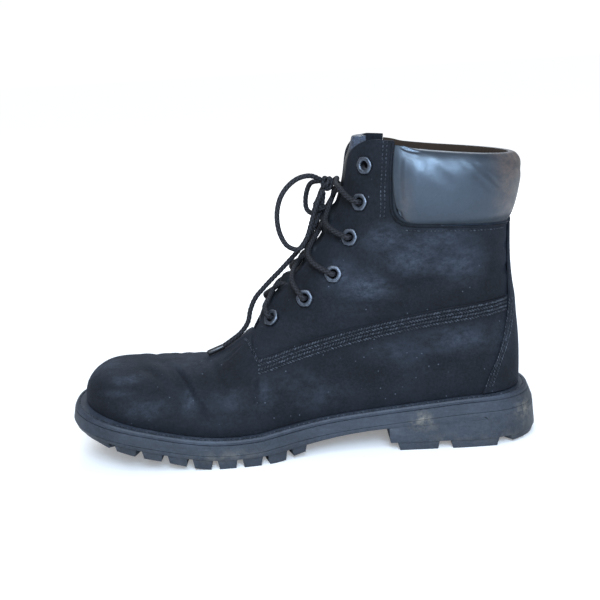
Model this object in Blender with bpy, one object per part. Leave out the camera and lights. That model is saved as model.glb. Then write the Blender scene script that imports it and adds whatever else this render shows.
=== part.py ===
"""Right-foot lace-up work boot: padded collar, panelled upper and lugged rubber sole.

Lengths in this file are millimetres, and add_mesh turns them into metres. The toe points
to -X, the inner (medial) side to -Y and the outer (lateral) side to +Y. The boot stands
on Z = 0. The upper's outer face is one function, half_width(x, z), read off the side
view, and every piece of the boot takes its place from it.
"""

from math import cos, pi, sin

import bmesh
import bpy
from mathutils import Matrix, Vector

MM = 0.001
ORIGIN = Vector((0.97, -0.4, 0.0))    # the middle of the boot's box on the floor
MEDIAL, LATERAL = -1, 1
SIDES = (MEDIAL, LATERAL)

# Driving dimensions of the upper
TOE = -131.4             # foremost point of the upper, on the welt
WALL = 2.0               # leather and lining of the quarters
VAMP_STEP = 1.2          # the lower panel lies this much proud of the quarters
SEAT_GAP = 0.35          # between pieces that meet on a curved face
FEATHER_GAP = 0.45       # between the upper's lower edge and the welt
COLLAR_SIDE_GAP = 0.7    # between collar and eyestay
TOE_RADIUS = 40.0        # how far the toe's rounding runs back
PLAN_POWER = 2.3         # 2 is an ellipse, more is squarer: the toe seen from above
TOE_BOX_POWER, INSTEP_POWER = 3.0, 2.2   # the same for a section across the foot
SHAFT_POWER = 2.2        # the same for the shaft's front and back
SHAFT_FRONT_RADIUS = 37.0
SHAFT_CENTRE = 0.5
FOOT_TOP, SHAFT_FOOT = 64.0, 108.0    # between these heights the foot turns into the shaft
FEATHER_TUCK, TUCK_HEIGHT = 0.045, 11.0   # the upper draws in where it is lasted under
THROAT_BASE = -29.0      # x where vamp, tongue and eyestays meet

# Driving dimensions of the sole
LEDGE = 5.8              # welt beyond the upper
WELT_THICK = 2.4
MIDSOLE_THICK = 6.3
INSOLE_RISE = 2.2        # insole above the feather line
LUG_INSET = 0.9          # lugs stand back from the sole's side
LUG_LENGTH = 15.0        # a side lug's length across the sole
LUG_ROOT = 0.9           # a lug's top end lies this deep in the tread plate
FIRST_GAP, LUG_PITCH, GAP_COUNT = -111.0, 14.2, 8
GAP_TOP, GAP_BOTTOM = 2.6, 4.8
LAST_LUG_END = -1.2
TOE_LUG_LENGTH = 13.0
BLOCK_GAP = 7.0          # between the side lugs and the blocks in the middle
BLOCK_FRONT, BLOCK_BACK = 0.2, 0.8    # where a block starts and ends, in shares of the pitch
BLOCK_TAPER, BLOCK_TIP = 0.55, 0.9    # its back edge against its front edge, and tip against root
HEEL_BREAST = 49.5
HEEL_LUG_HEIGHT = 5.2
HEEL_LUG_LENGTH = 18.0
HEEL_BLOCK_HALF, HEEL_BLOCK_INSET = 11.5, 4.0
REAR_LUG, REAR_LUG_LENGTH, REAR_LUG_TIP = 117.4, 15.0, 1.8
LUG_DRAFT = 0.6          # a lug narrows by this much a side towards its tip
HEEL_STAND_OUT = 4.8     # the heel's back stands out beyond the welt's

# Small pieces
EYELET_HOLE, EYELET_SIDES, PIN_LENGTH = 2.9, 8, 9.0
HEX_FACE = 1.0           # eyelet flange above the leather
LACE_RADIUS = 1.55
LACE_LIFT = 4.6          # a lace's middle over the leather, where it passes an eyelet
STRAND_RISE = 0.08       # a strand climbs by this share of the way to the next pair
EDGE_PASS, EDGE_LIFT = 0.76, 4.8      # where it passes the eyestay's edge, in shares, and how high
THROAT_PASS, THROAT_LIFT = 12.0, 3.2  # where it comes over the throat, and how high
CROSS_AT, END_AT, END_SIDE = 0.5, 0.72, 5.5    # shares of the climb: the crossing and the end
COUNTER_THICK = 1.2
TONGUE_THICK = 3.4
TONGUE_GAP = 2.0         # room for the eyelets' rolled backs
TONGUE_SWELL, TONGUE_SWELL_EDGE = 4.0, 9.5    # between the eyestays it swells up to the crown
TONGUE_LEAN = 6.0
TONGUE_COLUMNS = 5
TONGUE_HEIGHTS = (
    64.5, 69.0, 74.0, 80.0, 90.0, 102.0, 116.0, 131.0, 147.0, 163.0, 173.0, 180.5, 184.6, 186.2,
)
TONGUE_SHOULDER = 171.0  # above this height the tongue's sides round in to its top


def table(names, *rows):
    """A table of named columns: each name with the list of its values."""
    return dict(zip(names.split(), map(list, zip(*rows))))


# The last seen from above: where its middle runs and half its width, along the foot
PLAN = table(
    "x      middle  half",
    (-134.0, -7.5, 41.0),
    (-110.0, -5.0, 41.8),
    (-80.0, -1.0, 43.6),
    (-57.0, 0.4, 44.2),
    (-34.0, 0.6, 43.0),
    (-12.0, 1.8, 38.2),
    (10.0, 2.6, 33.0),
    (32.0, 2.4, 30.6),
    (60.0, 1.2, 30.2),
    (100.0, 0.5, 31.2),
    (134.0, 0.5, 31.6),
)
# The line where the upper meets the welt
FEATHER = table(
    "x      z",
    (-134.0, 38.4),
    (-124.0, 35.2),
    (-110.0, 30.6),
    (-89.0, 24.4),
    (-66.0, 18.9),
    (-46.0, 16.6),
    (-30.0, 17.2),
    (-10.0, 19.9),
    (17.0, 22.9),
    (44.0, 25.0),
    (77.0, 28.2),
    (104.0, 30.3),
    (134.0, 30.4),
)
# The top of the foot, from the toe box over the instep and up the front of the shaft
CROWN = table(
    "x      z",
    (-134.0, 62.0),
    (-118.0, 61.0),
    (-105.0, 57.6),
    (-93.0, 55.9),
    (-73.0, 55.1),
    (-57.0, 55.0),
    (-52.0, 55.6),
    (-47.5, 57.4),
    (-42.0, 60.8),
    (-35.1, 65.8),
    (-29.0, 70.8),
    (-25.0, 78.6),
    (-18.3, 89.0),
    (-6.0, 102.2),
    (8.0, 117.2),
    (18.8, 133.6),
    (25.6, 149.0),
    (29.6, 163.0),
    (31.6, 195.0),
)
# The back of the boot and half the shaft's width, by height
BACK = table(
    "z      x       radius",
    (30.0, 131.0, 33.0),
    (45.0, 131.4, 34.0),
    (57.0, 131.4, 35.0),
    (75.0, 129.7, 36.0),
    (92.0, 129.1, 36.0),
    (108.0, 127.5, 36.0),
    (117.0, 127.5, 36.0),
    (135.0, 128.2, 37.0),
    (145.0, 128.8, 37.0),
    (156.0, 130.4, 38.0),
    (166.0, 132.6, 38.0),
    (185.0, 134.4, 38.0),
)
HEEL_BACK = BACK["x"][0]
HEEL_ROUND = (HEEL_BACK - 7.5, HEEL_BACK - 3.2, HEEL_BACK - 0.8)
LAST_TUCK = FEATHER_TUCK * max(PLAN["half"])
SHAFT = table(
    "z      half",
    (60.0, 32.0),
    (85.0, 32.6),
    (110.0, 32.8),
    (130.0, 34.2),
    (150.0, 35.6),
    (185.0, 37.0),
)
# The raised edge of the lower panel, from the throat's base to the back of the heel
PANEL_EDGE = table(
    "x      z",
    (-25.0, 62.2),
    (-18.0, 64.0),
    (-7.0, 66.6),
    (26.0, 73.8),
    (59.5, 80.5),
    (93.5, 85.5),
    (134.0, 88.0),
)
# The quarters' top edge, under the collar, and the line that carries it on to the throat
QUARTER_TOP = table(
    "x      z",
    (15.0, 141.0),
    (50.0, 138.6),
    (60.0, 136.0),
    (75.0, 134.4),
    (101.0, 132.8),
    (132.0, 130.2),
)
EYESTAY_TOP = table("x z", (26.0, 186.4), (42.0, 185.4), (60.0, 183.6))
COLLAR_TOP = table("x z", (58.0, 183.2), (64.0, 181.6), (96.0, 176.2), (136.0, 171.8))
# The seam between eyestay and collar
COLLAR_FRONT = table(
    "z      x",
    (66.0, 62.0),
    (130.0, 66.0),
    (135.4, 65.0),
    (137.0, 61.4),
    (140.5, 58.9),
    (148.0, 57.0),
    (160.0, 56.2),
    (184.0, 58.4),
)
# Half the throat's width, by the share of the way from its base to the quarters' top
THROAT = table("share gap", (0.0, 7.5), (0.17, 9.0), (0.5, 10.4), (1.0, 12.4), (2.0, 14.5))
# Half the tongue's width, and what is left of it at its rounded top
TONGUE_HALF = table("z half", (62.0, 13.5), (90.0, 16.5), (120.0, 20.5), (150.0, 24.0))
TONGUE_TOP = 0.45
# Eyelets, from the top
EYELETS = table(
    "x      z",
    (42.4, 170.4),
    (38.6, 149.4),
    (31.8, 129.4),
    (21.2, 108.6),
    (3.9, 94.6),
    (-16.4, 82.4),
)
EYESTAY_CORNER = 15.0
# The heel counter's front edge, which runs on up the back as a narrow stay
COUNTER_EDGE = table(
    "z      x",
    (31.0, 105.6),
    (44.5, 111.9),
    (59.7, 118.4),
    (75.0, 122.3),
    (86.0, 124.0),
    (100.0, 125.0),
    (132.0, 126.4),
)
# The underside: lug tips, and the tread plate between the lugs
TREAD = table(
    "x      tip    plate",
    (-140.0, 22.6, 25.0),
    (-134.0, 21.4, 24.0),
    (-124.0, 19.8, 22.4),
    (-115.0, 16.4, 20.0),
    (-99.0, 11.2, 15.8),
    (-84.0, 7.0, 11.8),
    (-72.0, 3.4, 8.7),
    (-63.0, 1.0, 6.7),
    (-54.0, 0.0, 5.7),
    (-46.0, 0.0, 5.3),
    (-18.0, 0.0, 6.1),
    (-8.0, 2.6, 7.7),
    (0.0, 4.3, 8.8),
    (13.0, 6.0, 10.6),
    (27.0, 8.0, 12.6),
    (40.0, 9.0, 13.8),
    (60.0, 0.0, 14.8),
    (134.0, 0.0, 18.0),
)
# The sole's side: depth below the feather line, and how far each ring stands out
SOLE_RINGS = table(
    "name          depth  side   toe    heel",
    ("welt edge", 0.9, 0.0, 1.8, 2.1),
    ("welt top", 0.0, -0.7, 1.1, 1.4),
    ("welt foot", WELT_THICK, -0.2, 2.4, 2.4),
    ("midsole top", WELT_THICK + 0.3, 0.1, 2.7, 2.7),
    ("midsole foot", WELT_THICK + MIDSOLE_THICK, 0.9, 3.9, 4.9),
    ("outsole top", WELT_THICK + MIDSOLE_THICK + 0.3, 0.8, 3.8, 5.0),
)
# The collar's section: out from the quarter's face, and the share of its height
COLLAR_SECTION = table(
    "out    up",
    (0.2, 0.0),
    (2.2, 0.1),
    (3.3, 0.32),
    (3.6, 0.6),
    (2.8, 0.87),
    (-1.4, 1.0),
    (-6.0, 0.97),
    (-8.8, 0.78),
    (-9.2, 0.4),
    (-7.6, 0.08),
    (-2.0, 0.0),
)
HEEL_LUGS = table("front notch back", (54.4, 66.5, 79.6), (86.2, 100.0, 112.4))


# The knot, and the loops and ends that hang from it: the direction in which each leaves the
# knot, the places it passes, and for a loop the direction of its other end
LACE_SPACING = 8.0
KNOT_CENTRE, KNOT_HALF = (21.1, 0.5, 158.3), (4.2, 5.6, 5.0)
LACE_ROUTES = {
    "lace_loop_long": (
        (-0.75, -0.45, 0.5),
        (
            (9.5, -6.0, 164.2), (1.0, -8.0, 161.5), (-6.0, -9.5, 154.5), (-9.5, -10.5, 145.0),
            (-9.5, -10.8, 135.0), (-6.5, -10.6, 126.0), (-0.5, -10.0, 120.5), (5.0, -9.0, 123.5),
            (8.6, -8.0, 131.0), (11.5, -7.0, 139.5), (14.2, -6.0, 147.0),
        ),
        (-0.55, -0.6, -0.6),
    ),
    "lace_loop_short": (
        (-0.6, 0.75, 0.25),
        (
            (12.0, 9.0, 158.5), (8.6, 11.6, 151.5), (8.0, 12.6, 143.5), (10.0, 10.6, 138.5),
            (12.6, 7.4, 141.5), (15.0, 5.4, 148.0),
        ),
        (-0.45, 0.5, -0.75),
    ),
    "lace_end_short": (
        (0.1, 0.93, -0.35),
        ((19.2, 12.6, 154.6), (16.9, 17.6, 149.6), (15.6, 20.4, 142.6), (14.8, 21.4, 135.0),
         (13.4, 21.8, 127.6)),
        None,
    ),
}
LACE_END_EXIT = (-0.5, -0.1, -0.85)
LACE_END = table(
    "z      lift",
    (140.0, 5.9),
    (130.0, 5.6),
    (118.0, 5.6),
    (107.0, 6.0),
    (96.0, 6.6),
    (86.0, 7.4),
    (77.0, 5.8),
    (69.5, 4.2),
    (63.0, 3.9),
)
LACE_END_TIP = ((-47.5, -1.4, 4.6), (-57.0, -3.4, 3.6))


def clamp(value, low=0.0, high=1.0):
    return max(low, min(high, value))


def mix(a, b, share):
    return a + (b - a) * share


def ease(value, start, end):
    """0 before start, 1 after end, with a smooth way between."""
    t = clamp((value - start) / (end - start))
    return t * t * (3 - 2 * t)


def rounded(share, power=SHAFT_POWER):
    """Height of a superellipse's quarter, from 0 at its tip to 1 where it is level."""
    return (1 - (1 - clamp(share)) ** power) ** (1 / power)


def curve(rows, along, value):
    """A smooth function through a table's rows, level past both ends, with no overshoot."""
    xs, ys = rows[along], rows[value]
    steps = [(ys[i + 1] - ys[i]) / (xs[i + 1] - xs[i]) for i in range(len(xs) - 1)]
    turns = [2 * a * b / (a + b) if a * b > 0 else 0.0 for a, b in zip(steps, steps[1:])]
    slopes = [steps[0], *turns, steps[-1]]

    def at(x):
        if x <= xs[0]:
            return ys[0]
        if x >= xs[-1]:
            return ys[-1]
        i = max(k for k in range(len(xs) - 1) if xs[k] <= x)
        width = xs[i + 1] - xs[i]
        t = (x - xs[i]) / width
        start = (1 + 2 * t) * (1 - t) ** 2 * ys[i] + t * (1 - t) ** 2 * width * slopes[i]
        end = t * t * (3 - 2 * t) * ys[i + 1] - t * t * (1 - t) * width * slopes[i + 1]
        return start + end

    return at


middle_line = curve(PLAN, "x", "middle")
plan_width = curve(PLAN, "x", "half")
feather = curve(FEATHER, "x", "z")
crown = curve(CROWN, "x", "z")
back = curve(BACK, "z", "x")
back_radius = curve(BACK, "z", "radius")
shaft_width = curve(SHAFT, "z", "half")
quarter_top = curve(QUARTER_TOP, "x", "z")
eyestay_top = curve(EYESTAY_TOP, "x", "z")
collar_top = curve(COLLAR_TOP, "x", "z")
collar_front = curve(COLLAR_FRONT, "z", "x")
throat_gap = curve(THROAT, "share", "gap")
counter_edge = curve(COUNTER_EDGE, "z", "x")
lug_tip = curve(TREAD, "x", "tip")
tread_plate = curve(TREAD, "x", "plate")


def solve(function, low, high):
    """Where a rising function crosses zero, by halving."""
    for _ in range(36):
        half = (low + high) / 2
        if function(half) < 0:
            low = half
        else:
            high = half
    return (low + high) / 2


def front(z):
    """x of the instep's and the shaft's front line at height z."""
    return solve(lambda x: crown(x) - z, CROWN["x"][3], CROWN["x"][-1])


def nose(x):
    """1 at the toe's tip, 0 where the toe's rounding ends."""
    return clamp(1 - (x - TOE) / TOE_RADIUS)


def plan_half(x):
    """Half the last's width on the welt, with toe and heel rounded off."""
    toe = (1 - nose(x) ** PLAN_POWER) ** (1 / PLAN_POWER)
    heel = rounded((HEEL_BACK - x) / BACK["radius"][0])
    return plan_width(x) * toe * heel


def section_power(x):
    return mix(TOE_BOX_POWER, INSTEP_POWER, ease(x, -118.0, -62.0))


def half_width(x, z):
    """Half the width of the upper's outer face, at x along the boot and height z."""
    low, high = feather(x), crown(x)
    rise = clamp((z - low) / (high - low))
    left = max(0.0, 1 - nose(x) ** PLAN_POWER - rise ** section_power(x))
    width = plan_width(x) * left ** (1 / PLAN_POWER)
    if z > FOOT_TOP:
        shaft = shaft_width(z) * rounded((x - front(z)) / SHAFT_FRONT_RADIUS)
        width = mix(width, shaft, ease(z, FOOT_TOP, SHAFT_FOOT))
    tuck = FEATHER_TUCK * (1 - clamp((z - low) / TUCK_HEIGHT)) ** 2
    return width * rounded((back(z) - x) / back_radius(z)) * (1 - tuck)


def middle(x, z):
    return mix(middle_line(x), SHAFT_CENTRE, ease(z, FOOT_TOP, SHAFT_FOOT))


def outward(x, z, side, level=False):
    """The outer face's normal. On the middle line it has no sideways part."""
    if half_width(x, z) < 0.05:
        return on_middle(x, z, level)
    step = 0.4
    along = half_width(x + step, z) - half_width(x - step, z)
    up = 0.0 if level else half_width(x, z + step) - half_width(x, z - step)
    return Vector((-along, side * 2 * step, -up)).normalized()


def on_middle(x, z, level):
    """The outer face's normal on the middle line, from the slope of the side view's outline."""
    if x > CROWN["x"][-1] + 20:
        return Vector((1, 0, 0 if level else (back(z - 1) - back(z + 1)) / 2)).normalized()
    if level:
        return Vector((-1, 0, 0))
    if z > FOOT_TOP:
        return Vector((-1, 0, (front(z + 1) - front(z - 1)) / 2)).normalized()
    return Vector((toe_profile(x - 0.5) - toe_profile(x + 0.5), 0, 1)).normalized()


def on_face(x, z, side, lift=0.0, level=False):
    """A point on the upper's outer face, or lifted off it along its normal."""
    y = middle(x, z) + side * half_width(x, z)
    point = Vector((x, y, z))
    return point + lift * outward(x, z, side, level) if lift else point


# ---------------------------------------------------------------- meshes and materials


def clear_scene():
    for obj in list(bpy.data.objects):
        bpy.data.objects.remove(obj, do_unlink=True)


def collection(name):
    made = bpy.data.collections.new(name)
    bpy.context.scene.collection.children.link(made)
    return made


def material(name, color, roughness, metallic=0.0):
    made = bpy.data.materials.new(name)
    made.use_nodes = True
    shader = made.node_tree.nodes["Principled BSDF"]
    shader.inputs["Base Color"].default_value = (*color, 1)
    shader.inputs["Roughness"].default_value = roughness
    shader.inputs["Metallic"].default_value = metallic
    return made


def add_mesh(name, points, faces, finish, group):
    """A named object of these points, in millimetres, with doubles merged and faces turned out."""
    bm = bmesh.new()
    verts = [bm.verts.new((Vector(p) - ORIGIN) * MM) for p in points]
    for face in faces:
        bm.faces.new([verts[i] for i in face])
    bmesh.ops.remove_doubles(bm, verts=bm.verts, dist=0.01 * MM)
    bmesh.ops.recalc_face_normals(bm, faces=bm.faces)
    mesh = bpy.data.meshes.new(name)
    bm.to_mesh(mesh)
    bm.free()
    mesh.materials.append(finish)
    mesh.shade_smooth()
    mesh.set_sharp_from_angle(angle=pi / 5)
    obj = bpy.data.objects.new(name, mesh)
    group.objects.link(obj)
    return obj


class Skin:
    """Points and faces of one mesh, collected ring by ring."""

    def __init__(self):
        self.points, self.faces = [], []

    def add(self, points):
        first = len(self.points)
        self.points += points
        return list(range(first, len(self.points)))

    def bridge(self, one, other, closed=False):
        """Quads between two rows of equal length."""
        count = len(one) if closed else len(one) - 1
        for i in range(count):
            j = (i + 1) % len(one)
            self.faces.append((one[i], one[j], other[j], other[i]))

    def fill(self, ring):
        """A cap of strips across a ring that starts on the middle line."""
        for i in range(len(ring) // 2):
            quad = (ring[i], ring[i + 1], ring[-i - 1], ring[-i])
            self.faces.append(tuple(dict.fromkeys(quad)))

    def cap(self, ring):
        """A cap of strips across a ring that runs out on one side and back on the other."""
        for i in range((len(ring) - 1) // 2):
            quad = (ring[i], ring[i + 1], ring[-i - 2], ring[-i - 1])
            self.faces.append(tuple(dict.fromkeys(quad)))

    def flat(self, ring):
        self.faces.append(tuple(ring))

    def block(self, root, tip):
        """A closed block between two rings of points."""
        rings = self.add(root), self.add(tip)
        self.bridge(*rings, closed=True)
        for ring in rings:
            self.cap(ring)


def boolean(obj, other, operation):
    change = obj.modifiers.new(operation.lower(), "BOOLEAN")
    change.object = other
    change.operation = operation
    other.hide_render = True
    other.display_type = "WIRE"


def cord(name, points, finish, group, radius=LACE_RADIUS):
    """A round cord as a bevelled poly curve through points in millimetres."""
    data = bpy.data.curves.new(name, "CURVE")
    data.dimensions = "3D"
    data.bevel_depth = radius * MM
    data.bevel_resolution = 2
    data.use_fill_caps = True
    spline = data.splines.new("POLY")
    spline.points.add(len(points) - 1)
    for made, point in zip(spline.points, points):
        made.co = (*((Vector(point) - ORIGIN) * MM), 1)
    data.materials.append(finish)
    obj = bpy.data.objects.new(name, data)
    group.objects.link(obj)
    return obj


def as_mesh(obj, group):
    """The curve object made a closed mesh object of the same name."""
    name = obj.name
    depsgraph = bpy.context.evaluated_depsgraph_get()
    mesh = bpy.data.meshes.new_from_object(obj.evaluated_get(depsgraph))
    bm = bmesh.new()
    bm.from_mesh(mesh)
    bmesh.ops.remove_doubles(bm, verts=bm.verts, dist=0.001 * MM)
    bmesh.ops.recalc_face_normals(bm, faces=bm.faces)
    bm.to_mesh(mesh)
    bm.free()
    place = obj.matrix_world.copy()
    bpy.data.objects.remove(obj, do_unlink=True)
    made = bpy.data.objects.new(name, mesh)
    made.matrix_world = place
    group.objects.link(made)
    return made


def smooth_route(route, spacing):
    """Points about this far apart on a Catmull-Rom curve through the route's own points."""
    route = [Vector(p) for p in route]
    ends = [2 * route[0] - route[1], *route, 2 * route[-1] - route[-2]]
    fine = []
    for p0, p1, p2, p3 in zip(ends, ends[1:], ends[2:], ends[3:]):
        for k in range(20):
            t = k / 20
            fine.append(
                0.5 * (2 * p1 + (p2 - p0) * t + (2 * p0 - 5 * p1 + 4 * p2 - p3) * t**2
                       + (3 * p1 - p0 - 3 * p2 + p3) * t**3)
            )
    fine.append(route[-1])
    run = [0.0]
    for a, b in zip(fine, fine[1:]):
        run.append(run[-1] + (b - a).length)
    count = max(2, round(run[-1] / spacing))
    picked = []
    for k in range(count + 1):
        want = run[-1] * k / count
        i = next(i for i in range(1, len(run)) if run[i] >= want - 1e-9)
        share = (want - run[i - 1]) / max(run[i] - run[i - 1], 1e-9)
        picked.append(fine[i - 1].lerp(fine[i], share))
    return picked


# ---------------------------------------------------------------- the upper

TOE_COLUMNS, EYESTAY_COLUMNS, QUARTER_COLUMNS = 12, 6, 10
VAMP_ROWS, PANEL_ROWS = 8, 5      # rows up to the crown, and of them up to the raised edge
QUARTER_SHARES = (0.17, 0.3, 0.44, 0.58, 0.72, 0.86, 1.0)
EYESTAY_SHARES = (1.04, 1.12, 1.3, 1.53, 1.74, 1.84, 1.92, 1.98, 2.0)


def toe_profile(x):
    """The top of the toe box in the side view, where the rounded toe meets the crown."""
    reach = (1 - nose(x) ** PLAN_POWER) ** (1 / section_power(x))
    return feather(x) + (crown(x) - feather(x)) * reach


def vamp_row(x, row):
    """Height of a row of the vamp: 0 on the welt, VAMP_ROWS on the crown."""
    low = feather(x) + FEATHER_GAP
    return low + max(0.0, toe_profile(x) - low) * sin(row / VAMP_ROWS * pi / 2)


PANEL_EDGE["x"].insert(0, THROAT_BASE)
PANEL_EDGE["z"].insert(0, vamp_row(THROAT_BASE, PANEL_ROWS))
panel_edge = curve(PANEL_EDGE, "x", "z")


def panel_row(x, row):
    """Height of a row behind the vamp: 0 on the welt, PANEL_ROWS on the panel's raised edge."""
    low = feather(x) + FEATHER_GAP
    start = sin(row / VAMP_ROWS * pi / 2) / sin(PANEL_ROWS / VAMP_ROWS * pi / 2)
    spread = mix(start, row / PANEL_ROWS, ease(x, THROAT_BASE, THROAT_BASE + 60))
    return low + (panel_edge(x) - low) * spread


def quarter_row(x, share):
    """Height of a row above the raised edge: 1 on the quarters' top, 2 on the eyestay's."""
    if share <= 1:
        return mix(panel_edge(x), quarter_top(x), share)
    return mix(quarter_top(x), eyestay_top(x), share - 1)


def throat_edge(share):
    """x where a row of the quarters starts, on the eyestay's edge with its rounded corner."""
    gap = throat_gap(share)

    def beyond(x):
        return half_width(x, quarter_row(x, share)) - gap

    x = solve(beyond, front(quarter_row(THROAT_BASE, share)) - 2, 60.0)
    short = max(0.0, quarter_row(x, share) - (eyestay_top(x) - EYESTAY_CORNER))
    return x + EYESTAY_CORNER - (EYESTAY_CORNER**2 - min(short, EYESTAY_CORNER) ** 2) ** 0.5


def row_places(start, height_at):
    """(x, z) along a row, from its start past the collar's front seam to the back."""
    joint, end = 60.0, 132.0
    for _ in range(5):
        joint, end = collar_front(height_at(joint)), back(height_at(end))
    xs = [mix(start, joint, (i / EYESTAY_COLUMNS) ** 1.7) for i in range(EYESTAY_COLUMNS)]
    for i in range(QUARTER_COLUMNS + 1):
        xs.append(mix(joint, end, sin(i / QUARTER_COLUMNS * pi / 2)))
    return [(x, height_at(x)) for x in xs]


def upper_rows():
    """Rows of (x, z): the vamp, the panel behind it, and quarters with eyestays."""
    turns = [i / TOE_COLUMNS * pi / 2 for i in range(TOE_COLUMNS + 1)]
    toe_xs = [mix(TOE, THROAT_BASE, 1 - cos(turn)) for turn in turns]
    vamp = [[(x, vamp_row(x, j)) for x in toe_xs] for j in range(VAMP_ROWS + 1)]
    panel = [row_places(THROAT_BASE, lambda x, j=j: panel_row(x, j)) for j in range(PANEL_ROWS + 1)]
    quarters = []
    for j in range(PANEL_ROWS, VAMP_ROWS):
        edge, top = panel_edge(THROAT_BASE), quarter_top(THROAT_BASE)
        share = (vamp[j][-1][1] - edge) / (top - edge)
        quarters.append(row_places(THROAT_BASE, lambda x, s=share: quarter_row(x, s)))
    for share in QUARTER_SHARES + EYESTAY_SHARES:
        row = row_places(throat_edge(share), lambda x, s=share: quarter_row(x, s))
        quarters.append(row if share <= 1 else row[: EYESTAY_COLUMNS + 1])
    return vamp, panel, quarters


def make_upper(finish, group, cutters):
    """One hollow solid: an outer face with the panel's step, and an inner face a wall inside it."""
    parts = upper_rows()
    skin = Skin()
    for side in SIDES:
        edges = []
        for step, rest in ((VAMP_STEP, 0.0), (-WALL, -WALL)):
            vamp, panel, quarters = (
                [
                    skin.add([
                        on_face(x, z, side, lift, level=lift != 0 and low and j == 0 or x == TOE)
                        for x, z in row
                    ])
                    for j, row in enumerate(rows)
                ]
                for rows, lift, low in zip(parts, (step, step, rest), (True, True, False))
            )
            for rows in (vamp, panel):
                for one, other in zip(rows, rows[1:]):
                    skin.bridge(one, other)
            for one, other in zip(quarters, quarters[1:]):
                width = min(len(one), len(other))
                skin.bridge(one[:width], other[:width])
            rim = [row[-1] for row in vamp[PANEL_ROWS:VAMP_ROWS]]
            if step != rest:
                skin.bridge(panel[-1], quarters[0])
                skin.bridge(rim, [row[0] for row in quarters[: len(rim)]])
            collar_row = len(rim) + len(QUARTER_SHARES) - 1
            throat = [vamp[-1][-1], rim[-1]] + [row[0] for row in quarters[len(rim) - 1:]]
            seam = [row[-1] for row in quarters[-2:collar_row:-1]]
            top = throat + quarters[-1][1:] + seam + quarters[collar_row][EYESTAY_COLUMNS:]
            edges.append((vamp[0] + panel[0], top))
        for outer, inner in zip(*edges):
            skin.bridge(outer, inner)
    upper = add_mesh("upper", skin.points, skin.faces, finish, group)
    holes = [
        (on_face(x, z, side), outward(x, z, side))
        for side in SIDES
        for x, z in zip(EYELETS["x"], EYELETS["z"])
    ]
    boolean(upper, eyelet_cutter(holes, cutters), "DIFFERENCE")
    return upper


def eyelet_cutter(holes, group):
    """Pins through the wall at each eyelet, as one mesh."""
    bm = bmesh.new()
    for centre, normal in holes:
        turn = Vector((0, 0, 1)).rotation_difference(normal).to_matrix().to_4x4()
        bmesh.ops.create_cone(
            bm, cap_ends=True, segments=EYELET_SIDES, radius1=EYELET_HOLE * MM, radius2=EYELET_HOLE * MM,
            depth=PIN_LENGTH * MM, matrix=Matrix.Translation((centre - ORIGIN) * MM) @ turn,
        )
    mesh = bpy.data.meshes.new("eyelet_pins")
    bm.to_mesh(mesh)
    bm.free()
    obj = bpy.data.objects.new("eyelet_pins", mesh)
    group.objects.link(obj)
    return obj


# ---------------------------------------------------------------- the sole


def on_edge(x, side, out, height=None):
    """A point on the last's outline at station x, moved out along its normal, at height(its x)."""
    half, step = plan_half(x), 0.3
    slope = (plan_half(x + step) - plan_half(x - step)) / (2 * step)
    normal = Vector((-slope, side)).normalized()
    if half < 0.05:
        normal = Vector((-1 if x < 0 else 1, 0))
    place = Vector((x, middle_line(x) + side * half)) + normal * out
    return Vector((place.x, place.y, height(place.x) if height else 0.0))


def outline(offset_at):
    """(x, y, station) round the last on the welt, from the heel by the medial side and back."""
    vamp, panel, _ = upper_rows()
    stations = [x for x, z in vamp[0][:-1] + panel[0]]
    stations[-1] = HEEL_BACK
    points = []
    for side, xs in ((MEDIAL, stations[::-1]), (LATERAL, stations[1:-1])):
        for x in xs:
            place = on_edge(x, side, offset_at(x))
            points.append((place.x, place.y, x))
    return points


def stretched(side_out, toe_out, heel_out):
    """An offset that changes from the sides to the toe and to the heel."""
    def at(x):
        out = mix(side_out, toe_out, ease(-x, 95.0, 130.0))
        return mix(out, heel_out, ease(x, 100.0, 130.0))
    return at


def sole_ring(skin, name, height=None):
    """One ring of the sole's side, from its row in SOLE_RINGS."""
    row = SOLE_RINGS["name"].index(name)
    out = stretched(*(LEDGE + SOLE_RINGS[column][row] for column in ("side", "toe", "heel")))
    depth = SOLE_RINGS["depth"][row]
    height = height or (lambda x: feather(x) - depth)
    return skin.add([(x, y, height(at)) for x, y, at in outline(out)])


def plain_ring(skin, out, height):
    return skin.add([(x, y, height(at)) for x, y, at in outline(lambda x: out)])


def make_welt(finish, group):
    """A strip round the boot, on which the upper's edge stands."""
    skin = Skin()
    inside = -LAST_TUCK - WALL - 0.3
    rings = [sole_ring(skin, name) for name in ("welt top", "welt edge", "welt foot")]
    rings.append(plain_ring(skin, inside, lambda x: feather(x) - WELT_THICK))
    rings.append(plain_ring(skin, inside, feather))
    for one, other in zip(rings, rings[1:] + rings[:1]):
        skin.bridge(one, other, closed=True)
    return add_mesh("welt", skin.points, skin.faces, finish, group)


def make_midsole(finish, group):
    skin = Skin()
    top = sole_ring(skin, "midsole top")
    foot = sole_ring(skin, "midsole foot")
    skin.fill(top)
    skin.bridge(top, foot, closed=True)
    skin.fill(foot)
    return add_mesh("midsole", skin.points, skin.faces, finish, group)


def make_insole(finish, group):
    skin = Skin()
    inside = -LAST_TUCK - WALL - 0.9
    top = plain_ring(skin, inside - 0.4, lambda x: feather(x) + INSOLE_RISE)
    foot = plain_ring(skin, inside, lambda x: feather(x) - WELT_THICK)
    skin.fill(top)
    skin.bridge(top, foot, closed=True)
    skin.fill(foot)
    return add_mesh("insole", skin.points, skin.faces, finish, group)


def lug_root(x):
    return tread_plate(x) + LUG_ROOT


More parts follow.
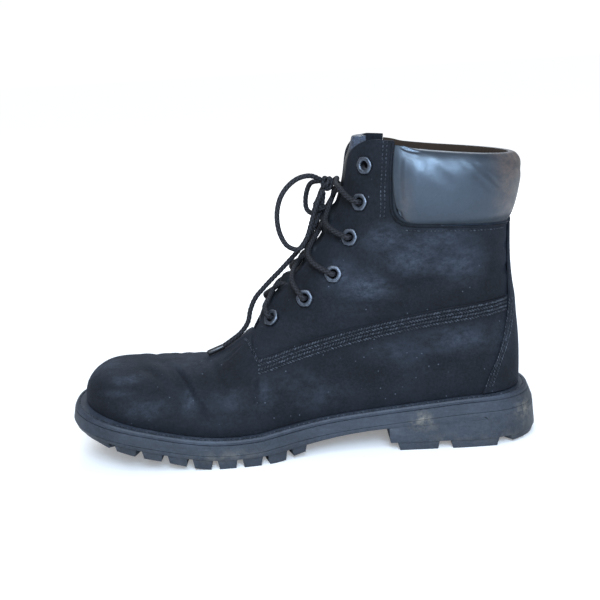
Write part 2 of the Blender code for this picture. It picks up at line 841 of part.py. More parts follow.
def edge_lug(skin, run, narrow, rim, length, root=lug_root, tip=lug_tip):
    """A lug along a run of (x, side) on the outline. Its tip follows the narrower run."""
    rings = []
    for places, draft, height in ((run, 0.0, root), (narrow, LUG_DRAFT, tip)):
        outer = [on_edge(x, side, rim(x) - draft, height) for x, side in places]
        inner = [on_edge(x, side, rim(x) - length + draft, height) for x, side in places]
        rings.append(outer + inner[::-1])
    skin.block(*rings)


def side_lug(skin, side, places, shrink, rim, length, *heights):
    """A lug on one side, from its front by its middle to its back."""
    front_x, centre, back_x = places
    run = [(x, side) for x in places]
    narrow = [(x, side) for x in (front_x + shrink, centre, back_x - shrink)]
    edge_lug(skin, run, narrow, rim, length, *heights)


def end_lug(skin, start, rounding, shrink, rim, length, *heights):
    """A lug round the toe or the heel: from start on one side, by its rounding, to the other."""
    runs = []
    for first in (start, start + shrink):
        half = [first, *rounding[:-1]]
        runs.append(
            [(x, MEDIAL) for x in half] + [(rounding[-1], MEDIAL)] + [(x, LATERAL) for x in half[::-1]]
        )
    edge_lug(skin, *runs, rim, length, *heights)


def middle_block(skin, corners, root, tip):
    """A block between two heights on corners of (x, y), a little narrower at its tip."""
    centre = sum(x for x, y in corners) / len(corners)
    rings = []
    for height, size in ((root, 1.0), (tip, BLOCK_TIP)):
        places = [(mix(centre, x, size), y * size) for x, y in corners]
        rings.append([Vector((x, y, height(x))) for x, y in places])
    skin.block(*rings)


def forefoot_lugs():
    """The toe lug, side lugs and the blocks between them, all as separate closed blocks."""
    skin = Skin()
    rim = stretched(LEDGE + 0.8 - LUG_INSET, LEDGE + 0.4, LEDGE)
    toe = [TOE + behind for behind in (13.0, 7.0, 2.8, 0.6, 0.0)]
    end_lug(skin, FIRST_GAP - GAP_TOP / 2, toe, -LUG_DRAFT, rim, TOE_LUG_LENGTH)
    gaps = [FIRST_GAP + i * LUG_PITCH for i in range(GAP_COUNT)]
    for start, end in zip(gaps, gaps[1:] + [LAST_LUG_END + GAP_TOP / 2]):
        centre = (start + end) / 2
        places = (start + GAP_TOP / 2, centre, end - GAP_TOP / 2)
        for side in SIDES:
            side_lug(skin, side, places, (GAP_BOTTOM - GAP_TOP) / 2, rim, LUG_LENGTH)
        reach = plan_half(centre) + LEDGE - LUG_LENGTH - BLOCK_GAP
        near, far = centre + LUG_PITCH * BLOCK_FRONT, centre + LUG_PITCH * BLOCK_BACK
        y, short = middle_line(centre), reach * BLOCK_TAPER
        corners = ((near, y - reach), (far, y - short), (far, y + short), (near, y + reach))
        middle_block(skin, corners, lug_root, lug_tip)
    return skin


def heel_block():
    """The solid heel between the tread plate and the heel's lugs."""
    skin = Skin()
    stations = [HEEL_BREAST, 66.0, 82.0, 98.0, 108.0, 116.0, *HEEL_ROUND]
    around = [(x, MEDIAL) for x in stations] + [(HEEL_BACK, MEDIAL)]
    around += [(x, LATERAL) for x in stations[::-1]]
    rings = []
    for out, height, breast in ((0.5, lug_root, 0.0), (1.4, lambda x: HEEL_LUG_HEIGHT, 0.6)):
        grow = stretched(LEDGE + out, LEDGE + out, LEDGE + out + HEEL_STAND_OUT)
        ring = [on_edge(x, side, grow(x), height) for x, side in around]
        for point in (ring[0], ring[-1]):
            point.x = HEEL_BREAST + breast
        rings.append(ring)
    skin.block(*rings)
    return skin


def heel_lugs():
    skin = Skin()
    rim = stretched(LEDGE + 0.7, LEDGE, LEDGE + 0.6 + HEEL_STAND_OUT)

    def root(x):
        return HEEL_LUG_HEIGHT + LUG_ROOT

    def floor(x):
        return 0.0

    for places in zip(HEEL_LUGS["front"], HEEL_LUGS["notch"], HEEL_LUGS["back"]):
        for side in SIDES:
            side_lug(skin, side, places, 2 * LUG_DRAFT, rim, HEEL_LUG_LENGTH, root, floor)
        near, far = places[0] + HEEL_BLOCK_INSET, places[2] - HEEL_BLOCK_INSET
        half = HEEL_BLOCK_HALF
        middle_block(skin, ((near, -half), (far, -half), (far, half), (near, half)), root, floor)
    around = (*HEEL_ROUND, HEEL_BACK)
    end_lug(skin, REAR_LUG, around, 2 * LUG_DRAFT, rim, REAR_LUG_LENGTH, root, lambda x: REAR_LUG_TIP)
    return skin


def make_outsole(finish, group, cutters):
    """Tread plate, heel block and lugs, moulded in one piece."""
    skin = Skin()
    top = sole_ring(skin, "outsole top")
    wide = stretched(LEDGE + 0.8, LEDGE + 2.4, LEDGE + 0.3 + HEEL_STAND_OUT)
    foot = skin.add([(x, y, tread_plate(x)) for x, y, at in outline(wide)])
    skin.fill(top)
    skin.bridge(top, foot, closed=True)
    skin.fill(foot)
    outsole = add_mesh("outsole", skin.points, skin.faces, finish, group)
    parts = {"heel_block": heel_block(), "heel_lugs": heel_lugs(), "forefoot_lugs": forefoot_lugs()}
    for name, part in parts.items():
        boolean(outsole, add_mesh(name, part.points, part.faces, finish, cutters), "UNION")
    return outsole


# ---------------------------------------------------------------- what is sewn on or set in


def across_throat(z, y):
    """(x, height, normal) where a cut square to the instep at z meets the face, y off its middle."""
    slope = (front(z + 1) - front(z - 1)) / 2
    inward = Vector((1, 0, -slope)).normalized()
    if abs(y) < 0.05:
        return front(z), z, -inward

    def short(depth):
        return half_width(front(z) + depth * inward.x, z + depth * inward.z) - abs(y)

    depth = solve(short, 0.0, 34.0)
    x, height = front(z) + depth * inward.x, z + depth * inward.z
    return x, height, outward(x, height, LATERAL if y > 0 else MEDIAL)


def tongue_swell(z):
    """How deep the tongue's middle lies below the crown: it swells out over the throat's base."""
    return mix(-1.4, 0.5, ease(z, 82.0, 98.0))


def make_tongue(finish, group):
    """A plate in the throat that follows the crown, from under the vamp to above the eyestays."""
    skin = Skin()
    rings = []
    half_at = curve(TONGUE_HALF, "z", "half")
    for z in TONGUE_HEIGHTS:
        over = clamp((z - TONGUE_SHOULDER) / (TONGUE_HEIGHTS[-1] - TONGUE_SHOULDER))
        half = half_at(z) * max(TONGUE_TOP, (1 - over**2) ** 0.5)
        gap = WALL + mix(1.0, TONGUE_GAP, ease(z, 66.0, 76.0))
        lean = Vector((TONGUE_LEAN * ease(z, 165.0, 190.0), 0, 0))
        outer, inner = [], []
        for k in range(-TONGUE_COLUMNS, TONGUE_COLUMNS + 1):
            y = half * sin(k / TONGUE_COLUMNS * pi / 2)
            x, height, normal = across_throat(z, y)
            base = Vector((x, middle(x, height) + y, height)) + lean
            bulge = ease(z, 73.0, 79.0) * ease(-abs(y), -TONGUE_SWELL_EDGE, -TONGUE_SWELL)
            outer.append(base - mix(gap, tongue_swell(z), bulge) * normal)
            inner.append(base - (gap + TONGUE_THICK) * normal)
        rings.append(skin.add(outer + inner[::-1]))
    for one, other in zip(rings, rings[1:]):
        skin.bridge(one, other, closed=True)
    skin.cap(rings[0])
    skin.cap(rings[-1])
    return add_mesh("tongue", skin.points, skin.faces, finish, group)


def make_collar(finish, group):
    """The padded collar, a pillow between the quarters' top edge and the boot's mouth."""
    skin = Skin()
    rings = []
    stations = [(i, MEDIAL) for i in range(QUARTER_COLUMNS + 1)]
    stations += [(i, LATERAL) for i in range(QUARTER_COLUMNS - 1, -1, -1)]
    places = row_places(throat_edge(1.0), quarter_top)[EYESTAY_COLUMNS:]
    for i, side in stations:
        share = sin(i / QUARTER_COLUMNS * pi / 2)
        puff = mix(0.45, 1.0, ease(share, 0.0, 0.12))
        low_x, low_z = places[i]
        ring = []
        for out, up in zip(COLLAR_SECTION["out"], COLLAR_SECTION["up"]):
            z = mix(low_z + SEAT_GAP, collar_top(low_x), up)
            x = mix(collar_front(z) + COLLAR_SIDE_GAP, back(z), share)
            normal = outward(x, z, side, level=True)
            if share == 1:
                normal = Vector((1, 0, 0))
            reach = out * puff if up > 0.05 else out
            ring.append(on_face(x, z, side) + reach * normal)
        rings.append(skin.add(ring))
    for one, other in zip(rings, rings[1:]):
        skin.bridge(one, other, closed=True)
    skin.flat(rings[0])
    skin.flat(rings[-1])
    return add_mesh("collar", skin.points, skin.faces, finish, group)


def make_counter(finish, group):
    """The heel counter and the stay above it, laid over the upper's back."""
    skin = Skin()
    heights = (31.4, 40.0, 51.0, 63.0, 75.0, 86.0, 92.0, 110.0, 129.4)
    columns = 5
    faces = []
    for depth in (0.0, COUNTER_THICK):
        rows = []
        for j, z in enumerate(heights):
            step = VAMP_STEP * (1 - ease(z, 87.5, 92.0))
            row = []
            places = [(i, MEDIAL) for i in range(columns + 1)]
            places += [(i, LATERAL) for i in range(columns - 1, -1, -1)]
            for i, side in places:
                x = mix(counter_edge(z), back(z), sin(i / columns * pi / 2))
                height = feather(x) + 1.0 if j == 0 else z
                row.append(on_face(x, height, side, step + 0.5 + depth, level=j == 0))
            rows.append(skin.add(row))
        for one, other in zip(rows, rows[1:]):
            skin.bridge(one, other)
        faces.append(rows)
    inner, outer = faces
    skin.bridge(inner[0], outer[0])
    skin.bridge(inner[-1], outer[-1])
    skin.bridge([row[0] for row in inner], [row[0] for row in outer])
    skin.bridge([row[-1] for row in inner], [row[-1] for row in outer])
    return add_mesh("heel_counter", skin.points, skin.faces, finish, group)


def make_eyelet(name, centre, normal, finish, group):
    """A six-sided flange on the face, a barrel through the wall and a rolled back."""
    profile = (
        (5.2, HEX_FACE, True), (4.7, HEX_FACE + 0.95, True), (2.0, HEX_FACE + 0.8, False),
        (2.0, -WALL - 1.4, False), (3.4, -WALL - 1.2, False), (2.3, -WALL - 0.75, False),
        (2.3, HEX_FACE, False),
    )
    skin = Skin()
    turn = Vector((0, 0, 1)).rotation_difference(normal).to_matrix()
    steps = 12
    rings = []
    for k in range(steps):
        angle = 2 * pi * k / steps
        six = cos(pi / 6) / cos((angle % (pi / 3)) - pi / 6)
        ring = []
        for radius, height, is_six in profile:
            reach = radius * (six if is_six else 1)
            ring.append(centre + turn @ Vector((reach * cos(angle), reach * sin(angle), height)))
        rings.append(skin.add(ring))
    for one, other in zip(rings, rings[1:] + rings[:1]):
        skin.bridge(one, other, closed=True)
    return add_mesh(name, skin.points, skin.faces, finish, group)


# ---------------------------------------------------------------- the lace


def over_throat(z, y, lift):
    """A point over the throat, y off the crown's middle line at height z, and lifted."""
    x, height, normal = across_throat(z, y)
    return Vector((x, middle(x, height) + y, height)) + lift * normal


def crown_height_by(index):
    """Height of the crown's point that lies square across from an eyelet."""
    x, z = EYELETS["x"][index], EYELETS["z"][index]
    return z + solve(lambda rise: front(z + rise) + rise - x, 0.0, 20.0)


def strand_start(index, side, rise):
    """The lace from an eyelet up over the eyestay's edge."""
    x, z = EYELETS["x"][index], EYELETS["z"][index]
    tie, near = crown_height_by(index), half_width(x, z)
    return [
        on_face(x, z, side, LACE_LIFT),
        over_throat(tie + rise, side * near * EDGE_PASS, EDGE_LIFT),
        over_throat(tie + 3 * rise, side * THROAT_PASS, THROAT_LIFT),
    ]


def middle_lift(z):
    """Height of a lace's middle over the crown, clear of the tongue."""
    return LACE_RADIUS + 0.3 + max(0.0, 0.1 - tongue_swell(z))


def make_crossing(number, low, high, finish, group, cutters):
    """Two strands from the lower pair of eyelets that cross on the way to the upper pair."""
    strands = []
    start_z, end_z = crown_height_by(low), crown_height_by(high)
    for side in SIDES:
        route = strand_start(low, side, STRAND_RISE * (end_z - start_z))
        for share, y in ((CROSS_AT, 0.0), (END_AT, -side * END_SIDE)):
            z = mix(start_z, end_z, share)
            route.append(over_throat(z, y, middle_lift(z)))
        name = f"lace_crossing_{number}" if side == MEDIAL else f"strand_{number}"
        home = group if side == MEDIAL else cutters
        strands.append(as_mesh(cord(name, smooth_route(route, 6.0), finish, home), home))
    boolean(strands[0], strands[1], "UNION")


def make_knot(finish, group):
    """The knot's outer shape, a squashed ball in front of the lace bar."""
    bm = bmesh.new()
    bmesh.ops.create_uvsphere(bm, u_segments=10, v_segments=7, radius=1)
    points = [Vector(KNOT_CENTRE) + Vector(v.co) * Vector(KNOT_HALF) for v in bm.verts]
    faces = [[v.index for v in face.verts] for face in bm.faces]
    bm.free()
    add_mesh("lace_knot", points, faces, finish, group)


def off_knot(direction):
    """A point just off the knot's face, in this direction from its centre."""
    unit, half = Vector(direction).normalized(), Vector(KNOT_HALF)
    normal = Vector([u / h for u, h in zip(unit, half)]).normalized()
    return Vector(KNOT_CENTRE) + unit * half + SEAT_GAP * normal


def make_laces(finish, group, cutters):
    for number, low in enumerate(range(5, 1, -1), start=1):
        make_crossing(number, low, low - 1, finish, group, cutters)
    tie = crown_height_by(1)
    bar = [*strand_start(1, MEDIAL, 0.4), over_throat(tie + 1.5, 0.0, middle_lift(tie))]
    bar += strand_start(1, LATERAL, 0.4)[::-1]
    cord("lace_bar", smooth_route(bar, 6.0), finish, group)
    make_knot(finish, group)
    for name, (out, route, back_in) in LACE_ROUTES.items():
        places = [off_knot(out), *route] + ([off_knot(back_in)] if back_in else [])
        cord(name, smooth_route(places, LACE_SPACING), finish, group)
    end = [over_throat(z, 0.0, lift) for z, lift in zip(LACE_END["z"], LACE_END["lift"])]
    tip = [Vector((x, middle_line(x) + y, crown(x) + lift)) for x, y, lift in LACE_END_TIP]
    cord("lace_end_long", smooth_route([off_knot(LACE_END_EXIT), *end, *tip], LACE_SPACING), finish, group)


def build():
    clear_scene()
    group = collection("work_boot")
    cutters = collection("cutters")
    nubuck = material("nubuck", (0.018, 0.021, 0.032), 0.85)
    smooth_leather = material("collar_leather", (0.02, 0.024, 0.035), 0.42)
    tongue_leather = material("tongue_leather", (0.015, 0.016, 0.02), 0.5)
    rubber = material("sole_rubber", (0.05, 0.056, 0.07), 0.75)
    welt_rubber = material("welt_rubber", (0.04, 0.045, 0.055), 0.65)
    lining = material("lining_fabric", (0.06, 0.055, 0.05), 0.95)
    gunmetal = material("gunmetal", (0.11, 0.12, 0.14), 0.4, 0.9)
    lace = material("lace_cord", (0.012, 0.012, 0.015), 0.9)

    make_outsole(rubber, group, cutters)
    make_midsole(rubber, group)
    make_welt(welt_rubber, group)
    make_insole(lining, group)
    make_upper(nubuck, group, cutters)
    make_tongue(tongue_leather, group)
    make_collar(smooth_leather, group)
    make_counter(nubuck, group)
    for side, where in zip(SIDES, ("medial", "lateral")):
        for number, (x, z) in enumerate(zip(EYELETS["x"], EYELETS["z"]), start=1):
            make_eyelet(f"eyelet_{where}_{number}", on_face(x, z, side), outward(x, z, side), gunmetal, group)
    make_laces(lace, group, cutters)


build()
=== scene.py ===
# %% [markdown]
# # A black nubuck work boot
# The packed model gives the boot's pieces in metres: the toe points to -X, the inner side of
# the foot to -Y, and the sole stands on Z = 0. Everything here is made around those pieces,
# as a fine copy of a solid or as a new mesh that follows one. The frame could be traced by
# eye, but reading it keeps every piece where the model says. Lengths that a boot maker would
# say aloud are written in millimetres and turned with MM.

# %% Load the frame
from math import cos, pi, radians, sin

import bmesh
import bpy
import numpy as np
from mathutils import Matrix, Vector
from mathutils.bvhtree import BVHTree


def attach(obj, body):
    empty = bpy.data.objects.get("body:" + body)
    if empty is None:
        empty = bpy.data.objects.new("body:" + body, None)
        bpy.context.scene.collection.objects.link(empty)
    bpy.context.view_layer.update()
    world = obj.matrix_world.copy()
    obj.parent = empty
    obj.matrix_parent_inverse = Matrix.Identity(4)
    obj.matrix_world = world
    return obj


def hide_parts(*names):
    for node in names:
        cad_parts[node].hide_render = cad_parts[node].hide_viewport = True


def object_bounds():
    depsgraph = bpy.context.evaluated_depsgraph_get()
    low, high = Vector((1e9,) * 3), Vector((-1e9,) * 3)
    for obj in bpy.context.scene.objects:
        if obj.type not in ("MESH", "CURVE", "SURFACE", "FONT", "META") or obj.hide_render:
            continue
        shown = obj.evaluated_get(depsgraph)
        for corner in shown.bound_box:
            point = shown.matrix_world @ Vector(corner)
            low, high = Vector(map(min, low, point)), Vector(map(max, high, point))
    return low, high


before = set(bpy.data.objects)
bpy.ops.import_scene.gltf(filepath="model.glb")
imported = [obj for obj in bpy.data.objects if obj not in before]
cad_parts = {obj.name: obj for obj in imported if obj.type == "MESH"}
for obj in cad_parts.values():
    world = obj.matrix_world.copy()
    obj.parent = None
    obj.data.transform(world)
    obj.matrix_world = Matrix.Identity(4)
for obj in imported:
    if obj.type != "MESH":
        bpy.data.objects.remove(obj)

MM = 0.001
X, Z = 0, 2            # columns of a table of points
MEDIAL, LATERAL = -1, 1
SIDES = (MEDIAL, LATERAL)
BOX = [list(corner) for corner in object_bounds()]
print("CAD box in mm:", [[round(x / MM, 1) for x in corner] for corner in BOX])


def mm(*places):
    """Points in millimetres as vectors in metres."""
    return [Vector(place) * MM for place in places]


# %% [markdown]
# ## The camera
# It stands on the inner side of the foot, a little above the boot, and is rolled by a few
# degrees. A long lens keeps the sole's lines nearly parallel, as in a shop's catalogue.
# Three angles could turn it. A matrix made from where it stands and where it looks does the
# same, and it stays right when either of them moves.

# %% Camera
CAMERA_AT = Vector((-2.5, -638.1, 227.1)) * MM
CAMERA_AIM = Vector((0.0, 0.0, 88.0)) * MM
CAMERA_ROLL = radians(3.3)
LENS = 64.0


def look(place, aim, roll=0.0):
    """A camera's matrix: level across the view, then turned about its own axis by roll."""
    forward = (aim - place).normalized()
    across = forward.cross(Vector((0, 0, 1))).normalized()
    up = across.cross(forward)
    right = cos(roll) * across - sin(roll) * up
    top = cos(roll) * up + sin(roll) * across
    turn = Matrix((right, top, -forward)).transposed().to_4x4()
    return Matrix.Translation(place) @ turn


def placed(name, data, matrix=None):
    """A new object of this data in the scene."""
    obj = bpy.data.objects.new(name, data)
    if matrix is not None:
        obj.matrix_world = matrix
    bpy.context.scene.collection.objects.link(obj)
    return obj


camera_data = bpy.data.cameras.new("camera")
camera_data.lens = LENS
camera = placed("camera", camera_data, look(CAMERA_AT, CAMERA_AIM, CAMERA_ROLL))
bpy.context.scene.camera = camera
print("camera", round((CAMERA_AT - CAMERA_AIM).length / MM), "mm from the boot")

# %% [markdown]
# ## Fine copies of the solids
# Leather, foam and rubber share three moves. A piece starts as a fine, smooth copy of its
# CAD node, so that it sits where the model says. Then listed folds push its surface in and
# out along its normals. Last, soft spots of wear and dust are painted on its points as named
# attributes, which the materials read, and so are painted shade and painted highlights. All
# this could be sculpted, but a copy made by Subdivision Surface, with creases where the solid
# turns sharply, follows the model when a size changes.

# %% A piece, its mesh and its modifiers
MERGED_WITHIN = 2e-6                        # in metres: points this close are one point
FLAT, SQUARE = radians(28), radians(50)     # how uneven two triangles of a quad may be


def new_object(name, mesh, slot, *nodes):
    """An object of this mesh that rides on the boot and stands for these CAD nodes."""
    obj = placed(name, mesh)
    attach(obj, "root")
    if nodes:
        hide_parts(*nodes)
    return obj


def dressed(mesh, *materials):
    """A mesh with these materials and no others."""
    mesh.materials.clear()
    for material in materials:
        mesh.materials.append(material)
    return mesh


def mesh_of(bm, name):
    mesh = bpy.data.meshes.new(name)
    bm.to_mesh(mesh)
    bm.free()
    return mesh


def result_of(obj):
    """The mesh that an object's modifiers make. The object is then removed."""
    depsgraph = bpy.context.evaluated_depsgraph_get()
    mesh = bpy.data.meshes.new_from_object(obj.evaluated_get(depsgraph))
    bpy.data.objects.remove(obj, do_unlink=True)
    return mesh


# %% Fine copies
def merged(node):
    """A CAD node's loose triangles, with their shared points merged."""
    bm = bmesh.new()
    bm.from_mesh(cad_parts[node].data)
    bmesh.ops.remove_doubles(bm, verts=bm.verts, dist=MERGED_WITHIN)
    return bm


def fine_copy(node, levels, sharp=40, rounding=0.0, crisp=None):
    """A smooth mesh of a CAD node: subdivided, and kept sharp where it turns by more than
    this many degrees. A rounding bevels those edges, and crisp then says what looks sharp."""
    bm = merged(node)
    bmesh.ops.join_triangles(
        bm, faces=bm.faces, angle_face_threshold=FLAT, angle_shape_threshold=SQUARE
    )
    crease = bm.edges.layers.float.new("crease_edge")
    for edge in bm.edges:
        if len(edge.link_faces) == 2 and edge.calc_face_angle() > radians(sharp):
            edge[crease] = 1.0
    obj = placed(node + "_coarse", mesh_of(bm, node + "_coarse"))
    smooth = obj.modifiers.new("smooth", "SUBSURF")
    smooth.levels = smooth.render_levels = levels
    if rounding:
        edges = obj.modifiers.new("round", "BEVEL")
        edges.width, edges.segments = rounding, 2
        edges.limit_method, edges.angle_limit = "ANGLE", radians(sharp)
    mesh = result_of(obj)
    mesh.shade_smooth()
    mesh.set_sharp_from_angle(angle=radians(crisp or sharp))
    return mesh


print("solids to dress:", len(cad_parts))


# %% Points, normals and search trees
def points_of(mesh):
    flat = np.empty(len(mesh.vertices) * 3)
    mesh.vertices.foreach_get("co", flat)
    return flat.reshape(-1, 3)


def normals_of(mesh):
    flat = np.empty(len(mesh.vertices) * 3, np.float32)
    mesh.vertex_normals.foreach_get("vector", flat)
    return flat.reshape(-1, 3).astype(float)


def move_points(mesh, points):
    mesh.vertices.foreach_set("co", points.ravel())
    mesh.update()


def tree_of(mesh, kept=None):
    """A search tree of a mesh's faces, or of those whose points are all kept."""
    faces = [face.vertices[:] for face in mesh.polygons]
    if kept is not None:
        faces = [face for face in faces if all(kept[i] for i in face)]
    return BVHTree.FromPolygons([vert.co[:] for vert in mesh.vertices], faces)


def soft_step(value, start, end):
    """0 at start and 1 at end, which may lie either way, with no corner between them."""
    share = np.clip((value - start) / (end - start), 0.0, 1.0)
    return share * share * (3 - 2 * share)


def along_axis(points, axis, start, end):
    """The same step for points, between two places in millimetres on an axis."""
    return soft_step(points[:, axis], start * MM, end * MM)


def paint(mesh, name, values):
    """A value from 0 to 1 on each point, which a material reads by its name."""
    layer = mesh.attributes.new(name, "FLOAT", "POINT")
    layer.data.foreach_set("value", np.clip(values, 0.0, 1.0).astype(np.float32))


print("a soft step's quarter, half and three quarters:", soft_step(np.array((1, 2, 3)), 0, 4))

# %% [markdown]
# ## Folds
# Creases in worn leather are not noise: each one starts, runs and dies out at a place that
# the foot decides. A cloth simulation would wrinkle a sheet, but a lasted upper keeps its
# form when it is empty. So each fold is listed one by one: a short line of points, with a
# width and a depth, presses a soft trough into the leather with a low ridge on both sides.

# %% Lines on a surface
LINE_STEP, SEAM_STEP = 1.5 * MM, 1.2 * MM
OUTSIDE, ABOUT_THERE = 0.2, 0.03    # metres from the boot's middle: off it, and near its skin


def on_side(tree, side, x, z):
    """The outer face's point at x and z in millimetres, seen from one side of the boot."""
    start = Vector((x * MM, side * OUTSIDE, z * MM))
    hit = tree.ray_cast(start, Vector((0, -side, 0)))[0]
    if hit is None:
        hit = tree.find_nearest(Vector((x * MM, side * ABOUT_THERE, z * MM)))[0]
    return hit


def rounded_line(points, step=LINE_STEP):
    """Points this far apart on a smooth curve through the given ones."""
    route = [Vector(p) for p in points]
    ends = [2 * route[0] - route[1], *route, 2 * route[-1] - route[-2]]
    made = []
    for p0, p1, p2, p3 in zip(ends, ends[1:], ends[2:], ends[3:]):
        count = max(1, round((p2 - p1).length / step))
        for k in range(count):
            t = k / count
            made.append(
                0.5 * (2 * p1 + (p2 - p0) * t + (2 * p0 - 5 * p1 + 4 * p2 - p3) * t**2
                       + (3 * p1 - p0 - 3 * p2 + p3) * t**3)
            )
    return made + [route[-1]]


def drawn_on(tree, route):
    """A route in millimetres, drawn to the nearest places on a surface and smoothed."""
    return rounded_line([tree.find_nearest(place)[0] for place in mm(*route)])


def along_line(points, line):
    """Each point's distance to a line of points, and the share of the line's run beside it."""
    line = np.array(line)
    starts, steps = line[:-1], np.diff(line, axis=0)
    lengths = np.linalg.norm(steps, axis=1)
    run = np.concatenate(([0.0], np.cumsum(lengths)))
    best = np.full(len(points), np.inf)
    share = np.zeros(len(points))
    for start, step, length, before in zip(starts, steps, lengths, run):
        t = np.clip((points - start) @ step / max(length**2, 1e-12), 0.0, 1.0)
        gap = np.linalg.norm(points - start - t[:, None] * step, axis=1)
        closer = gap < best
        best[closer] = gap[closer]
        share[closer] = (before + t[closer] * length) / run[-1]
    return best, share


# %% A fold's section
FOLD_FADE = 0.22                # share of its run over which a fold dies out at each end
RIDGE_HEIGHT = 0.45             # of the trough's depth
RIDGE_AT, RIDGE_WIDTH = 1.7, 0.8    # in widths of the trough
FOLD_REACH = 4                  # in widths too: a fold moves nothing farther away


def fold_moves(points, folds, tree):
    """For each fold of a table, its width and how far it moves each point outwards."""
    for width, depth, route in folds:
        line = np.array(drawn_on(tree, route))
        reach = FOLD_REACH * width * MM
        low, high = np.min(line, axis=0) - reach, np.max(line, axis=0) + reach
        near = np.all((points > low) & (points < high), axis=1)
        moved = np.zeros(len(points))
        if near.any():
            gap, share = along_line(points[near], line)
            gap /= width * MM
            fade = soft_step(np.minimum(share, 1 - share), 0.0, FOLD_FADE)
            ridge = RIDGE_HEIGHT * np.exp(-((gap - RIDGE_AT) / RIDGE_WIDTH) ** 2)
            moved[near] = depth * MM * fade * (ridge - np.exp(-gap**2))
        yield width, moved


print("a fold's ridges stand", RIDGE_AT, "widths from its middle")

# %% [markdown]
# ## Nodes in a few words
# A finish is a tree of shader nodes, and it could be wired by hand in the editor. Here a
# small class adds a node, fills its sockets with numbers, colours or other nodes' outputs,
# and hands back what it puts out, so that a finish reads as a short recipe.

# %% Node helpers
class Nodes:
    """A short way to add nodes to a tree and to fill their sockets."""

    def __init__(self, tree):
        self.tree = tree

    def put(self, value, socket):
        """A number, a colour or another node's output goes into a socket."""
        if isinstance(value, bpy.types.NodeSocket):
            self.tree.links.new(value, socket)
        else:
            socket.default_value = (*value, 1) if socket.type == "RGBA" else value

    def add(self, kind, sockets=None, **settings):
        node = self.tree.nodes.new(kind)
        for name, value in settings.items():
            setattr(node, name, value)
        for name, value in (sockets or {}).items():
            self.put(value, node.inputs[name])
        return node

    def place(self):
        return self.add("ShaderNodeTexCoord").outputs["Object"]

    def attribute(self, name):
        return self.add("ShaderNodeAttribute", attribute_name=name).outputs["Fac"]

    def noise(self, place, scale, detail=3.0, roughness=0.55):
        """Noise on Object coordinates; scale counts blotches per metre."""
        sockets = {"Vector": place, "Scale": scale, "Detail": detail, "Roughness": roughness}
        return self.add("ShaderNodeTexNoise", sockets).outputs["Fac"]

    def stretched(self, place, scale, turn=0.0):
        """Coordinates scaled along the axes and then turned about Y. A scale below 1 draws a
        pattern out."""
        sockets = {"Vector": place, "Scale": scale, "Rotation": (0, turn, 0)}
        return self.add("ShaderNodeMapping", sockets).outputs["Vector"]

    def ramp(self, value, low, high, start=0.0, end=1.0):
        """A value that runs softly from start, at low, to end, at high."""
        sockets = {"Value": value, "From Min": low, "From Max": high,
                   "To Min": start, "To Max": end}
        node = self.add("ShaderNodeMapRange", sockets, interpolation_type="SMOOTHSTEP")
        return node.outputs["Result"]

    def math(self, operation, a, b):
        return self.add("ShaderNodeMath", {0: a, 1: b}, operation=operation).outputs["Value"]

    def mix(self, share, a, b):
        """A colour between a and b."""
        return self.add("ShaderNodeMix", {0: share, 6: a, 7: b}, data_type="RGBA").outputs[2]

    def bump(self, height, strength, distance):
        sockets = {"Height": height, "Strength": strength, "Distance": distance}
        return self.add("ShaderNodeBump", sockets).outputs["Normal"]

    def use(self, group, **values):
        """What a group puts out when it is given these values."""
        sockets = {name.replace("_", " "): value for name, value in values.items()}
        return self.add("ShaderNodeGroup", sockets, node_tree=group).outputs


def group_of(kind, name, inputs, outputs):
    """An empty node group with named sockets: its tree, its helpers and both its ends."""
    tree = bpy.data.node_groups.new(name, kind)
    for socket, socket_kind, value in inputs:
        made = tree.interface.new_socket(
            socket, in_out="INPUT", socket_type="NodeSocket" + socket_kind
        )
        if value is not None:
            made.default_value = value
    for socket, socket_kind in outputs:
        tree.interface.new_socket(
            socket, in_out="OUTPUT", socket_type="NodeSocket" + socket_kind
        )
    n = Nodes(tree)
    return tree, n, n.add("NodeGroupInput").outputs, n.add("NodeGroupOutput").inputs


def new_material(name, roughness, **values):
    """A material, its helpers and its shader's sockets, with these constants set."""
    made = bpy.data.materials.new(name)
    made.use_nodes = True
    n = Nodes(made.node_tree)
    shader = made.node_tree.nodes["Principled BSDF"].inputs
    for socket, value in {"Roughness": roughness, **values}.items():
        n.put(value, shader[socket.replace("_", " ")])
    return made, n, shader


print("a recipe's words:", ", ".join(word for word in vars(Nodes) if word[0] != "_"))

# %% [markdown]
# ## Worn colour
# No finish on a worn boot is one colour: it drifts between two shades, and dust lies over it
# in streaks. Several finishes need that, so it is a node group, built once. It gives only a
# colour and a mask, and each material keeps its own shader with its own numbers. A painted
# image could hold the same, but it would need a flat pattern of every piece.

# %% Group: worn colour
BLACK = (0, 0, 0, 1)
STROKES = (0.75, 0.9, 1.2)      # the dust's scale along the boot, across it and up
STROKE_TURN = radians(-14)

worn_tree, n, given, out = group_of(
    "ShaderNodeTree",
    "worn_colour",
    [("Deep", "Color", BLACK), ("Light", "Color", BLACK), ("Dust", "Color", BLACK),
     ("Dust mask", "Float", 0.0)],
    [("Color", "Color"), ("Dusty", "Float")],
)
place = n.place()
patch = n.math("MULTIPLY", n.noise(place, 28.0, 4.0), 0.5)
fine = n.math("MULTIPLY", n.noise(place, 620.0, 5.0, 0.75), 0.5)
shade = n.ramp(n.math("ADD", patch, fine), 0.36, 0.66)
strokes = n.noise(n.stretched(place, STROKES, STROKE_TURN), 170.0, 10.0, 0.85)
# the dust colour and mask also carry painted highlights: on the tongue's top rim and along the
# welt at the waist
dust_and_highlight = n.math("MULTIPLY", given["Dust mask"], n.ramp(strokes, 0.38, 0.66, 0.2, 1.0))
n.put(n.mix(dust_and_highlight, n.mix(shade, given["Deep"], given["Light"]), given["Dust"]), out["Color"])
n.put(dust_and_highlight, out["Dusty"])
print("worn colour:", len(worn_tree.nodes), "nodes")
